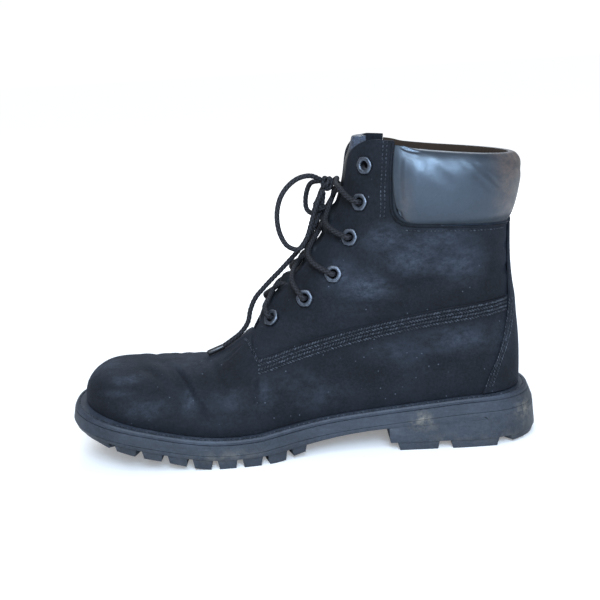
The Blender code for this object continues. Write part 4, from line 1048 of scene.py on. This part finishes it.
# %% Collar
SHAFT_MIDDLE = np.array((84, 0.5)) * MM
COLLAR_FOLDS = (
    (1.6, 0.3, ((61, -38, 177), (59.5, -38, 160), (61, -38, 145))),
    (3.2, 0.3, ((72, -39, 174), (82, -40, 164), (92, -40, 154))),
    (1.6, 0.16, ((92, -39, 172), (104, -37, 160), (114, -33, 150))),
    (1.3, 0.16, ((100, -38, 170), (110, -35, 161), (118, -31, 152))),
    (3.0, 0.4, ((126, -22, 172), (130, -14, 165), (133, -4, 158))),
    (0.9, 0.4, ((60, -36, 182), (66, -37, 178.5), (73, -38, 177.5))),
    (1.6, 0.3, ((61, 40, 177), (59.5, 40, 160), (61, 40, 145))),
    (3.0, 0.25, ((74, 41, 170), (84, 42, 160), (94, 41, 152))),
    (1.8, 0.2, ((104, 40, 168), (112, 37, 158), (122, 31, 150))),
)
COLLAR_LOW, COLLAR_TALL = 133, 48           # its lower edge and its height, in millimetres
COLLAR_SWELL, FULLEST = 2.3 * MM, 0.85      # below 1, the fullest place lies under the middle
LINED_FROM = -0.25                          # faces that look inwards by more than this


def outward(points):
    """The level direction away from the shaft's middle, for each point."""
    away = np.column_stack([points[:, :2] - SHAFT_MIDDLE, np.zeros(len(points))])
    return away / np.linalg.norm(away, axis=1)[:, None]


def facing_out(points, normals):
    """How far each normal looks away from the shaft's middle, from -1 to 1."""
    return np.einsum("ij,ij->i", normals, outward(points))


def finished(node, mesh, slot, *materials):
    """A finished piece that stands for the CAD node it was made from."""
    return new_object(node + "_finished", dressed(mesh, *materials), slot, node)


collar_mesh = fine_copy("collar", 4, sharp=75)
points, normals = points_of(collar_mesh), normals_of(collar_mesh)
height = np.clip((points[:, Z] / MM - COLLAR_LOW) / COLLAR_TALL, 0, 1)
swell = np.sin(pi * height**FULLEST) * along_axis(points, X, 57, 70)
outside = soft_step(facing_out(points, normals), 0.1, 0.6)
move_points(collar_mesh, points + (COLLAR_SWELL * swell * outside)[:, None] * outward(points))
points, swollen = points_of(collar_mesh), normals_of(collar_mesh)
wrinkles = fold_moves(points, COLLAR_FOLDS, tree_of(collar_mesh))
points = points + sum(fold for _, fold in wrinkles)[:, None] * swollen
move_points(collar_mesh, points)
print("collar:", len(collar_mesh.polygons), "faces,", len(COLLAR_FOLDS), "wrinkles")

# %% Collar: wear, painted shade and lining
# A mask grows between two places in millimetres, along the boot or up
BACK_WEAR, FRONT_WEAR = 0.7, 0.4
LEVEL = 0.7                     # faces that look up by more than this are a piece's top

worn_back = along_axis(points, X, 108, 126)
worn_front = along_axis(points, X, 70, 58) * along_axis(points, Z, 172, 150)
# painted shade: darker where the leather turns under, at the front edge and at the foot
turned_under_shade = np.maximum(along_axis(points, X, 63, 58.5), along_axis(points, Z, 138.5, 135))
paint(collar_mesh, "dust", BACK_WEAR * worn_back + FRONT_WEAR * worn_front)
paint(collar_mesh, "seam_and_shade", turned_under_shade * (normals[:, Z] < LEVEL))
collar = finished("collar", collar_mesh, "collar_leather", COLLAR_LEATHER, LINING)
centres = np.array([face.center for face in collar_mesh.polygons])
lined = facing_out(centres, np.array([face.normal for face in collar_mesh.polygons])) < LINED_FROM
collar_mesh.polygons.foreach_set("material_index", lined.astype(np.int32))
print("collar: lined on", int(lined.sum()), "faces")

# %% [markdown]
# ## The collar's backing
# A round cushion leaves open corners where a flat edge was. On the real boot a leather facing
# lies behind the foam and closes them. The plain solid, pulled in a little from both faces,
# is that facing, and it costs a few hundred triangles.

# %% Collar backing
BACKING_INSET, LINING_INSET, TOP_INSET = 1.4 * MM, 3.2 * MM, 2.0 * MM
TOP_FROM = 165 * MM
UPRIGHT = 0.25              # faces that look in or out by more than this are its two sides

bm = merged("collar")
bm.normal_update()
for vert in bm.verts:
    away = Vector(outward(np.array([vert.co]))[0])
    facing = vert.normal.dot(away)
    if abs(facing) > UPRIGHT:
        vert.co -= (BACKING_INSET if facing > 0 else -LINING_INSET) * away
    if vert.co.z > TOP_FROM:
        vert.co.z -= TOP_INSET
backing = dressed(mesh_of(bm, "collar_backing"), COLLAR_LEATHER)
new_object("collar_backing", backing, "collar_leather")
print("backing:", len(backing.polygons), "faces")

# %% [markdown]
# ## Tongue, counter and insole
# The tongue is soft and lightly padded, so between two crossings it swells out through the
# lacing. A soft body pressed by the laces would do it, with no say in where. So each swell is
# a round push of the front face at a chosen place, with its own size. The heel counter is one
# more panel of nubuck, and the insole is covered with the lining.

# %% Tongue
TONGUE_SWELLS = (
    # middle of a swell between two crossings, its size and how far it comes out
    ((-9, -7, 104.0), 6.8, 4.4), ((-9, 7, 104.0), 6.2, 3.0), ((-22, -4, 92), 5.8, 2.4),
    ((6, -8, 121.5), 7.2, 5.0), ((6, 7, 121.0), 6.6, 3.6), ((16, -8, 140.0), 8.2, 5.2),
    ((16, 7, 139.5), 7.0, 3.6), ((27, -10, 158), 6.0, 2.6), ((31, -10, 171), 7.0, 2.2),
    ((30, 10, 171), 7.0, 1.4),
)
SWELL_SHAPE = 2.6           # above 2, a swell is flatter on top and steeper at its foot

tongue_mesh = fine_copy("tongue", 3, sharp=85)
tongue_tree = tree_of(tongue_mesh)
points, normals = points_of(tongue_mesh), normals_of(tongue_mesh)
moved = np.zeros(len(points))
for middle, size, out in TONGUE_SWELLS:
    place = np.array(tongue_tree.find_nearest(Vector(middle) * MM)[0])
    away = np.linalg.norm(points - place, axis=1) / (size * MM)
    moved += out * MM * np.exp(-away**SWELL_SHAPE) * (normals[:, X] < 0)
points += moved[:, None] * normals
move_points(tongue_mesh, points)
paint(tongue_mesh, "gloss", along_axis(points, Z, 160, 176))
# painted highlight: a pale bluish band along the tongue's top rim, laid with the dust mask
paint(tongue_mesh, "dust", 0.55 * along_axis(points, Z, 174, 182))
finished("tongue", tongue_mesh, "tongue_leather", TONGUE_LEATHER)
print("tongue: swells by up to", round(moved.max() / MM, 1), "mm")

# %% Counter and insole
counter_mesh = fine_copy("heel_counter", 3)
paint(counter_mesh, "dust", dust_at(points_of(counter_mesh), DUST_SPOTS, 0.03, 0.08))
finished("heel_counter", counter_mesh, "nubuck", NUBUCK)
finished("insole", fine_copy("insole", 2), "lining_fabric", LINING)
print("counter:", len(counter_mesh.polygons), "faces")

# %% [markdown]
# ## The sole
# Three layers of rubber: a welt that the upper is sewn to, a midsole and a lugged outsole.
# Rubber wears by rubbing and collects mud, so both are painted as soft spots, and one more
# spot paints a highlight along the welt's top at the waist. A groove runs round the welt's top
# for its thread to lie in: points that are a set distance from the leather are lowered, so the
# groove follows the upper wherever it goes. The outsole keeps its flat lugs, so its edges are
# rounded with a Bevel modifier after one level of subdivision.

# %% Rubber
MUD_SPOTS = (
    # middle, then half its length, width and height, and its strength
    ((69, -36, 18), (4.5, 8, 4.5), 0.85), ((84, -36, 6), (12, 8, 2.5), 0.2),
    ((116, -32, 6), (14, 10, 3), 0.2), ((131, -24, 19), (6, 12, 5), 0.7),
    ((100, -36, 4), (20, 8, 2), 0.15), ((-50, -48, 8), (20, 8, 3), 0.3),
    ((84, 38, 12), (12, 8, 6), 0.8), ((-50, 50, 10), (26, 8, 3), 0.4),
    ((136, 0, 14), (6, 22, 5), 0.6),
)
WEAR_AND_HIGHLIGHT_SPOTS = (
    ((-126, -22, 26), (12, 14, 6), 0.9), ((-96, -42, 22), (18, 9, 5), 0.6),
    ((-56, -48, 19), (20, 8, 4), 0.7), ((-16, -46, 21), (20, 8, 4), 0.6),
    ((26, -40, 26), (20, 8, 4), 0.5), ((76, -38, 24), (18, 8, 5), 0.1),
    ((112, -36, 26), (14, 10, 5), 0.15), ((-90, -40, 32), (24, 9, 2.5), 0.8),
    ((10, -40, 33), (36, 9, 2.5), 0.9), ((-120, 20, 26), (14, 16, 6), 0.7),
    ((-50, 50, 20), (26, 8, 5), 0.6), ((40, 42, 26), (30, 8, 5), 0.6),
    ((104, 38, 26), (18, 10, 5), 0.7), ((136, 8, 26), (6, 20, 6), 0.6),
    # painted highlight: a bright line along the welt's top at the waist
    ((30, -36, 38), (44, 6, 4), 1.0),
)
GROOVE_DEPTH, GROOVE_AT, GROOVE_WIDTH = 0.45, 3.9, 0.55     # its place is off the leather


def worn_rubber(node, mesh, slot, material, film, mud_film=0.0):
    """A rubber piece with its wear, a painted highlight and its mud. Film is its dust, high up and
    low down.
    """
    points = points_of(mesh)
    paint(mesh, "dust", dust_at(points, WEAR_AND_HIGHLIGHT_SPOTS, *film))
    paint(mesh, "mud", dust_at(points, MUD_SPOTS, 0.0, mud_film))
    finished(node, mesh, slot, material)
    print(node, "has", len(mesh.polygons), "faces")


welt_mesh = fine_copy("welt", 3)
welt_finished = tree_of(welt_mesh)
points, normals = points_of(welt_mesh), normals_of(welt_mesh)
on_top = normals[:, Z] > LEVEL
ledge = np.array([upper_tree.find_nearest(Vector(point))[3] for point in points]) / MM
groove = np.exp(-((ledge - GROOVE_AT) / GROOVE_WIDTH) ** 2) * on_top
points[:, Z] -= GROOVE_DEPTH * MM * groove
move_points(welt_mesh, points)
worn_rubber("welt", welt_mesh, "welt_rubber", WELT_RUBBER, (0.12, 0.12))
worn_rubber("midsole", fine_copy("midsole", 3), "sole_rubber", SOLE_RUBBER, (0.12, 0.12))
outsole_mesh = fine_copy("outsole", 1, sharp=35, rounding=0.6 * MM, crisp=50)
worn_rubber("outsole", outsole_mesh, "sole_rubber", SOLE_RUBBER, (0.06, 0.12), 0.03)

# %% [markdown]
# ## Seams
# A boot has a few hundred stitches, all alike, that follow lines on the leather: work for
# Geometry Nodes. One tree sews them all. It takes lines of points that know which way the
# leather under them faces, walks along them at the stitch length, and lays one small capsule
# of thread at each step, along the seam and flat on the leather. A little random turn, with a
# fixed seed, keeps the rows from looking printed.

# %% Stitch tree
STITCH_TURN = 0.12          # the most that a stitch lies askew, in radians


def stitch_tree():
    """A node tree that lays stitches along lines."""
    tree, n, given, out = group_of(
        "GeometryNodeTree",
        "stitches",
        [("Lines", "Geometry", None), ("Pitch", "Float", 2.2 * MM), ("Length", "Float", 2.0 * MM),
         ("Thickness", "Float", 0.75 * MM), ("Tilt", "Float", 0.0), ("Seed", "Int", 7),
         ("Finish", "Material", None)],
        [("Stitches", "Geometry")],
    )
    curves = n.add("GeometryNodeMeshToCurve", {"Mesh": given["Lines"]}).outputs
    walk = n.add("GeometryNodeCurveToPoints", {"Curve": curves["Curve"], "Length": given["Pitch"]},
                 mode="LENGTH").outputs
    facing = n.add("GeometryNodeInputNamedAttribute", {"Name": "facing"},
                   data_type="FLOAT_VECTOR").outputs
    along = n.add("FunctionNodeAlignRotationToVector", {"Vector": walk["Tangent"]},
                  axis="X").outputs
    flat = n.add("FunctionNodeAlignRotationToVector",
                 {"Rotation": along["Rotation"], "Vector": facing["Attribute"]},
                 axis="Z", pivot_axis="X").outputs
    askew = n.add("FunctionNodeRandomValue",
                  {"Min": -STITCH_TURN, "Max": STITCH_TURN, "Seed": given["Seed"]},
                  data_type="FLOAT").outputs
    angle = n.math("ADD", askew["Value"], given["Tilt"])
    turn = n.add("FunctionNodeAxisAngleToRotation", {"Axis": (0, 0, 1), "Angle": angle}).outputs
    tilted = n.add("FunctionNodeRotateRotation",
                   {"Rotation": flat["Rotation"], "Rotate By": turn["Rotation"]},
                   rotation_space="LOCAL").outputs
    capsule = n.add("GeometryNodeMeshUVSphere", {"Segments": 8, "Rings": 5, "Radius": 0.5}).outputs
    size = n.add("ShaderNodeCombineXYZ", {"X": given["Length"], "Y": given["Thickness"],
                                          "Z": given["Thickness"]}).outputs
    stitches = n.add("GeometryNodeInstanceOnPoints",
                     {"Points": walk["Points"], "Instance": capsule["Mesh"],
                      "Rotation": tilted["Rotation"], "Scale": size["Vector"]}).outputs
    real = n.add("GeometryNodeRealizeInstances", {"Geometry": stitches["Instances"]}).outputs
    smooth = n.add("GeometryNodeSetShadeSmooth", {"Geometry": real["Geometry"]}).outputs
    thread = n.add("GeometryNodeSetMaterial", {"Geometry": smooth["Geometry"],
                                               "Material": given["Finish"]}).outputs
    n.put(thread["Geometry"], out["Stitches"])
    return tree


STITCH_TREE = stitch_tree()
STITCH_SOCKETS = {item.name: item.identifier for item in STITCH_TREE.interface.items_tree
                  if item.in_out == "INPUT"}
print("stitch tree:", len(STITCH_TREE.nodes), "nodes")

# %% Sewing
def sewn(name, lines, tree, lift=0.12, **sizes):
    """Stitches along lines of points, facing as the leather does. Sizes in millimetres, and
    the tilt in radians."""
    verts, edges, facing = [], [], []
    for line in lines:
        start = len(verts)
        for point in line:
            spot, normal, *_ = tree.find_nearest(point)
            verts.append(spot + lift * MM * normal)
            facing += normal[:]
        edges += [(i, i + 1) for i in range(start, len(verts) - 1)]
    mesh = bpy.data.meshes.new(name)
    mesh.from_pydata([vert[:] for vert in verts], edges, [])
    mesh.attributes.new("facing", "FLOAT_VECTOR", "POINT").data.foreach_set("vector", facing)
    obj = placed(name, mesh)
    change = obj.modifiers.new("sew", "NODES")
    change.node_group = STITCH_TREE
    change[STITCH_SOCKETS["Finish"]] = THREAD
    for size, value in sizes.items():
        change[STITCH_SOCKETS[size]] = value if size == "Tilt" else value * MM
    made = result_of(obj)
    print(name, len(made.polygons), "faces")
    return new_object(name, made, "lace_cord")


# %% [markdown]
# ## Where the thread runs
# Four rows hold the quarters to the vamp, in pairs that lean against each other. Two rows
# follow the front edge, one runs under the collar, short bartacks lock the throat's corners,
# and three rows hold the counter. Each seam is one row of places, shifted for its next rows,
# because a maker sews them side by side.

# %% Seams of the leather
BAND_ROWS, BAND_TILT = (1.8, 4.0, 6.2, 8.4), 0.6
EYESTAY_ROWS, COUNTER_ROWS, BARTACK_ROWS = (0.0, 2.2), (1.4, 3.4, 5.4), (0.0, 2.0)
BARTACK_DROP = 0.6          # how far a bartack's next row goes down, as a share of its step
EYESTAY_SEAM = ((51.8, 183.2), (51.1, 176.6), (50.4, 166.9), (49.4, 157.2), (49.0, 147.4),
                (48.4, 141.6))
UNDER_COLLAR = ((60.9, 132.6), (73.8, 131.4), (93.4, 130.4), (110, 129.4), (121, 128.6))
BARTACK = ((-36.5, 8, 69.0), (-33.5, 14, 67.5), (-31.2, 20, 65.2), (-29.2, 26, 62.4),
           (-27.5, 30, 59.5))
COUNTER_FRONT = ((106.2, 36), (109.5, 44.5), (113, 52), (116.6, 60), (119.6, 68), (121.6, 76),
                 (123.2, 85))


def shifted(route, step):
    """A row of (x, z), moved along the boot."""
    return [(x + step, z) for x, z in route]


lines = []
for side in SIDES:
    lines += [beside(shifted(EYESTAY_SEAM, step), side) for step in EYESTAY_ROWS]
    lines.append(beside(UNDER_COLLAR, side))
    for step in BARTACK_ROWS:
        tack = [(x + step, side * out, z - step * BARTACK_DROP) for x, out, z in BARTACK]
        lines.append(drawn_on(upper_tree, tack))
sewn("upper_stitches", lines, final_tree, Pitch=2.3, Length=1.7, Thickness=0.7)
for name, rows, tilt in (("up", BAND_ROWS[::2], BAND_TILT), ("down", BAND_ROWS[1::2], -BAND_TILT)):
    band = [beside(PANEL_EDGE, side, lower) for side in SIDES for lower in rows]
    sewn("band_stitches_" + name, band, final_tree,
         Pitch=1.75, Length=2.4, Thickness=0.95, Tilt=tilt)
counter_tree = tree_of(counter_mesh)
lines = [beside(shifted(COUNTER_FRONT, step), side, tree=counter_tree)
         for side in SIDES for step in COUNTER_ROWS]
sewn("counter_stitches", lines, counter_tree, Pitch=1.8, Length=2.0, Thickness=0.75, Tilt=0.5)

# %% [markdown]
# ## The welt's thread
# A thick thread runs round the welt's top, in its groove. The line could be offset from the
# sole's outline, but the welt's own edge is surer: rays go down on it from outside, from a
# fan at the toe, from the sides and from a fan at the heel, and each one that lands first is
# moved in by the same distance.

# %% Welt stitches
TOE_MIDDLE, HEEL_MIDDLE = -90.0, 95.0
AIM_STEP = 6                            # degrees in a fan, and millimetres along a side
FAR_OUT, CLOSER_BY, TRIES = 70, 0.25, 200
RAY_HEIGHT = 300
THREAD_INSET = 2.6
DOWN = Vector((0, 0, -1))


def ledge_line(tree, inset):
    """A closed line on the welt's top, this far in from its outer edge."""
    there = np.arange(TOE_MIDDLE + AIM_STEP, HEEL_MIDDLE, AIM_STEP).tolist()
    back = np.arange(HEEL_MIDDLE - AIM_STEP, TOE_MIDDLE, -AIM_STEP).tolist()
    aims = [(TOE_MIDDLE, angle) for angle in range(90, 271, AIM_STEP)]
    aims += [(x, 270) for x in there]
    aims += [(HEEL_MIDDLE, angle) for angle in range(270, 451, AIM_STEP)]
    aims += [(x, 90) for x in back]
    line = []
    for middle, angle in aims:
        aim = Vector((cos(radians(angle)), sin(radians(angle)), 0))
        for attempt in range(TRIES):
            start = Vector((middle, 0, RAY_HEIGHT)) + (FAR_OUT - CLOSER_BY * attempt) * aim
            if tree.ray_cast(start * MM, DOWN)[0] is not None:
                spot = tree.ray_cast((start - inset * aim) * MM, DOWN)[0]
                if spot is not None:
                    line.append(spot)
                break
    return rounded_line(line + line[:1])


sewn("welt_stitches", [ledge_line(welt_finished, THREAD_INSET)], welt_finished,
     lift=0.05, Pitch=3.0, Length=2.3, Thickness=0.8)

# %% [markdown]
# ## The back stay
# A strip of nubuck covers the seam at the back of the shaft, and its top end stands off a
# little where fingers pull the boot on. It is two grids of points laid on the leather, one
# over the other, closed round the rim. That gives a slab with faces on every side, which a
# Solidify modifier gives too, but with a rim that can't be thinned for a soft edge.

# %% Back stay
STAY_LOW, STAY_HIGH, STAY_HALF = 86.0, 133.5, 9.0
STAY_THICK, STAY_UNDER = 1.1, -0.8      # its two faces, above the leather
STAY_FLARE, FLARE_TALL = 1.6, 5         # how far its top stands off, and over what height
STAY_RIM = 0.35                         # thickness at its rim, as a share
STAY_ROWS, STAY_COLUMNS = 30, 13
STAY_SEAM = 7.4                         # how far its two seams lie from its middle
STAY_DUST = 0.15
BACK_MIDDLE = 0.6
LEATHER_TOP = 129.5                     # the quarters' top edge under the collar


def on_back(tree, y, z):
    """The outer face's point at y and z in millimetres, seen from behind, and its normal."""
    return tree.ray_cast(Vector((0.3, y * MM, z * MM)), Vector((-1, 0, 0)))[:2]


def stay_face(bm, rows, columns, height):
    """A grid of points over the back of the leather, at this height above it."""
    face = []
    for z in rows:
        off = soft_step(z, STAY_HIGH - FLARE_TALL, STAY_HIGH) * STAY_FLARE
        row = []
        for y in columns:
            spot, normal = on_back(final_tree, BACK_MIDDLE + y, min(z, LEATHER_TOP))
            spot.z = z * MM
            rim = height > 0 and (abs(y) > STAY_HALF - 0.1 or z > STAY_HIGH - 0.1)
            out = float(height * (STAY_RIM if rim else 1.0) + off)
            row.append(bm.verts.new(spot + out * MM * normal))
        face.append(row)
    return face


def back_stay():
    """The strip as a closed slab."""
    bm = bmesh.new()
    rows = np.linspace(STAY_LOW, STAY_HIGH, STAY_ROWS)
    columns = np.linspace(-STAY_HALF, STAY_HALF, STAY_COLUMNS)
    top, under = (stay_face(bm, rows, columns, height) for height in (STAY_THICK, STAY_UNDER))
    for face, turn in ((top, 1), (under, -1)):
        for a, b in zip(face, face[1:]):
            for k in range(len(columns) - 1):
                bm.faces.new((a[k], a[k + 1], b[k + 1], b[k])[::turn])
    last, end = len(rows) - 1, len(columns) - 1
    rim = [(i, 0) for i in range(last)] + [(last, k) for k in range(end)]
    rim += [(i, end) for i in range(last, 0, -1)] + [(0, k) for k in range(end, 0, -1)]
    for (i, k), (m, q) in zip(rim, rim[1:] + rim[:1]):
        bm.faces.new((top[i][k], top[m][q], under[m][q], under[i][k]))
    bmesh.ops.recalc_face_normals(bm, faces=bm.faces)
    mesh = dressed(mesh_of(bm, "back_stay"), NUBUCK)
    mesh.shade_smooth()
    paint(mesh, "dust", np.full(len(mesh.vertices), STAY_DUST))
    return mesh


stay_mesh = back_stay()
new_object("back_stay", stay_mesh, "nubuck")
stay_tree = tree_of(stay_mesh)
heights = np.linspace(STAY_LOW + 5, STAY_HIGH - 3, 16)
seams = [rounded_line([on_back(stay_tree, BACK_MIDDLE + y, z)[0] for z in heights])
         for y in (-STAY_SEAM, STAY_SEAM)]
sewn("stay_stitches", seams, stay_tree, Pitch=2.3, Length=1.7)

# %% [markdown]
# ## Piping and edges
# A thin roll of leather is sewn in under the collar and finishes its edge, and a second, wider
# roll turns the cushion's front corners. The panels of the upper end in cut edges that stand
# up a little. All three are plain round tubes along lines on the leather, as a curve with a
# round bevel would be, and they use the same rings as the lace.

# %% Piping round the collar
PIPING = ((57.2, 183.4), (55.8, 173.3), (54.9, 160.3), (54.6, 147.3), (56.0, 141.0),
          (59.6, 137.2), (65.0, 135.2), (74.0, 134.4), (93.6, 133.0), (110, 131.9), (121, 131.0))
PIPING_BACK = ((126, -14, 130.6), (131, 0.5, 130.4), (126, 15, 130.6))
PIPING_RADIUS, ROLL_RADIUS, EDGE_RADIUS = 0.95, 1.5, 0.5
COLLAR_MIDDLE = Vector((92, 0, 160)) * MM
ROLL_IN, ROLL_OUT = 2.1, 0.5            # from the piping: to the collar's middle, and inwards
ROLL_PART = slice(4, -16)               # the roll's share of the piping's points


def plain_tube(name, lines, radius, sides, material, slot):
    """Smooth round tubes along lines, as one mesh."""
    bm = bmesh.new()
    for line in lines:
        rings = [ring_of(bm, point, *frame_here, [radius * MM] * sides)
                 for point, frame_here in zip(line, frames_along(line))]
        skin(bm, rings[::-1])
    bmesh.ops.recalc_face_normals(bm, faces=bm.faces)
    mesh = dressed(mesh_of(bm, name), material)
    mesh.shade_smooth()
    print(name, len(mesh.polygons), "faces")
    return new_object(name, mesh, slot)


pipes = [rounded_line([on_side(final_tree, side, x, z) for x, z in PIPING]) for side in SIDES]
back = [final_tree.find_nearest(place)[0] for place in mm(*PIPING_BACK)]
round_back = rounded_line([pipes[0][-1], *back, pipes[1][-1]])
piping = pipes[0][:-1] + round_back[:-1] + pipes[1][::-1]
plain_tube("collar_piping", [piping], PIPING_RADIUS, 10, NUBUCK, "nubuck")
rolls = []
for side, pipe in zip(SIDES, pipes):
    roll = []
    for point in pipe[ROLL_PART]:
        inward = (COLLAR_MIDDLE - point) * Vector((1, 0, 1))
        roll.append(point + (ROLL_IN * inward.normalized() - Vector((0, side * ROLL_OUT, 0))) * MM)
    rolls.append(roll)
# the roll wears the darker copy of the collar leather: painted shade where the edge turns under
plain_tube("collar_roll", rolls, ROLL_RADIUS, 10, SHADED_COLLAR_EDGE, "collar_leather")
edges = [beside(PANEL_EDGE, side) for side in SIDES]
plain_tube("panel_edges", edges, EDGE_RADIUS, 6, NUBUCK, "nubuck")

# %% [markdown]
# ## Eyelets
# An eyelet is a steel flange with six soft corners and a barrel that is rolled over behind the
# leather. It is a turned shape, drawn by its profile from the flange's foot over the rim and
# down the hole. A Screw modifier turns a profile too, but only to a round. Here a share of
# six-sidedness draws the outer rings in between their corners. The mesh is made once, and
# twelve copies are turned to face as their eyelets do.

# %% Eyelets
EYELET_SIDES = 24
EYELET_PROFILE = (
    # radius, height above the leather, six-sided, bright
    (5.2, -0.2, 0.5, 0.0), (5.25, 0.7, 0.5, 0.2), (5.3, 1.1, 0.5, 0.5), (5.0, 1.5, 0.4, 1.0),
    (4.5, 1.72, 0.25, 0.6), (3.4, 1.8, 0, 0.45), (2.9, 1.7, 0, 0.9), (2.55, 1.2, 0, 0.5),
    (2.4, 0.2, 0, 0.0), (2.35, -2.6, 0, 0.0), (3.3, -3.2, 0, 0.0),
)


def hexagon_reach(k):
    """How far a hexagon's edge lies from its middle at a step round it, as a share."""
    return cos(pi / 6) / cos(2 * pi * k / EYELET_SIDES % (pi / 3) - pi / 6)


def eyelet_mesh():
    """A hexagonal flange with a rolled barrel, made once and placed twelve times."""
    bm = bmesh.new()
    rim = bm.verts.layers.float.new("rim")
    rings = []
    for radius, height, six, bright in EYELET_PROFILE:
        reaches = [radius * (1 + six * (hexagon_reach(k) - 1)) * MM for k in range(EYELET_SIDES)]
        middle, across, up = Vector((0, 0, height * MM)), Vector((1, 0, 0)), Vector((0, 1, 0))
        ring = ring_of(bm, middle, across, up, reaches)
        for vert in ring:
            vert[rim] = bright
        rings.append(ring)
    skin(bm, rings, closed=True)
    mesh = dressed(mesh_of(bm, "eyelet"), GUNMETAL)
    mesh.shade_smooth()
    return mesh


one_eyelet = eyelet_mesh()
for side, where in zip(SIDES, ("medial", "lateral")):
    for index in range(len(EYELET_ROWS)):
        centre, facing = eyelet(index, side)
        turn = facing.to_track_quat("Z", "Y").to_matrix().to_4x4()
        mesh = one_eyelet.copy()
        mesh.transform(Matrix.Translation(centre) @ turn)
        name = f"eyelet_{where}_{index + 1}"
        new_object(name + "_metal", mesh, "gunmetal", name)
print("eyelets:", len(SIDES) * len(EYELET_ROWS), "of", len(one_eyelet.polygons), "faces")

# %% [markdown]
# ## Floor and light
# Dark leather shows its shape only by what it reflects, so the main lamp is wide, high and
# in front, a cool card stands before the boot, and the surroundings that light it are dim. A
# white paper sweep would light the boot too much. So the ground and the background are
# brighter for the camera alone, as when a product is cut out on white, and near the boot the
# ground is lifted less, so that its shadow stays.

# %% Floor
FLOOR_HALF = 60                                 # metres
GROUND_LIFT, GROUND_LIFT_NEAR = 0.68, 0.25      # the ground's own light, far away and near
LIFT_FROM, LIFT_FULL = 0.2, 0.75                # metres from the boot

floor_mesh = bpy.data.meshes.new("floor")
corners = [(FLOOR_HALF * x, FLOOR_HALF * y, 0) for x, y in ((-1, -1), (1, -1), (1, 1), (-1, 1))]
floor_mesh.from_pydata(corners, [], [(0, 1, 2, 3)])
floor_material, n, floor_shader = new_material(
    "floor", 0.8, Specular_IOR_Level=0.0, Base_Color=(0.8, 0.8, 0.8), Emission_Color=(1, 1, 1)
)
away = n.add("ShaderNodeVectorMath", {0: n.place()}, operation="LENGTH").outputs["Value"]
lift = n.ramp(away, LIFT_FROM, LIFT_FULL, GROUND_LIFT_NEAR, GROUND_LIFT)
seen = n.add("ShaderNodeLightPath").outputs["Is Camera Ray"]
n.put(n.math("MULTIPLY", seen, lift), floor_shader["Emission Strength"])
floor = placed("floor", dressed(floor_mesh, floor_material))
print("floor:", 2 * FLOOR_HALF, "m wide")

# %% Lamps and background
AMBIENT, BACKGROUND = 0.42, 1.1         # the surroundings as the boot and the camera see them
SKY = (0.93, 0.96, 1.0)
COOL_LAMP, COOL_CARD = (0.85, 0.92, 1.0), (0.6, 0.78, 1.0)
LAMPS = (
    # name, place and aim in metres, size, power and colour
    ("key", (-0.25, -0.95, 1.2), (0, 0, 0.08), 1.0, 13, COOL_LAMP),
    ("front card", (0.15, -1.3, 0.78), (0.05, 0, 0.16), 0.6, 24, COOL_CARD),
    ("fill", (1.0, -0.7, 0.6), (0, 0, 0.08), 0.7, 1, COOL_LAMP),
    ("back", (0.1, 0.9, 1.0), (0, 0, 0.08), 0.9, 7, COOL_LAMP),
)
for name, place, aim, size, power, colour in LAMPS:
    lamp = bpy.data.lights.new(name, "AREA")
    lamp.shape = "DISK"
    lamp.size, lamp.energy, lamp.color = size, power, colour
    placed(name, lamp, look(Vector(place), Vector(aim)))

world = bpy.data.worlds.new("studio")
world.use_nodes = True
n = Nodes(world.node_tree)
background = world.node_tree.nodes["Background"].inputs
seen = n.add("ShaderNodeLightPath").outputs["Is Camera Ray"]
n.put(SKY, background["Color"])
n.put(n.ramp(seen, 0.0, 1.0, AMBIENT, BACKGROUND), background["Strength"])
bpy.context.scene.world = world
bpy.context.scene.view_settings.view_transform = "Standard"
print("lamps:", len(LAMPS))

# %% [markdown]
# ## Sizes
# Folds and swells must not make the boot larger than its model. The model's box is printed at
# the start.
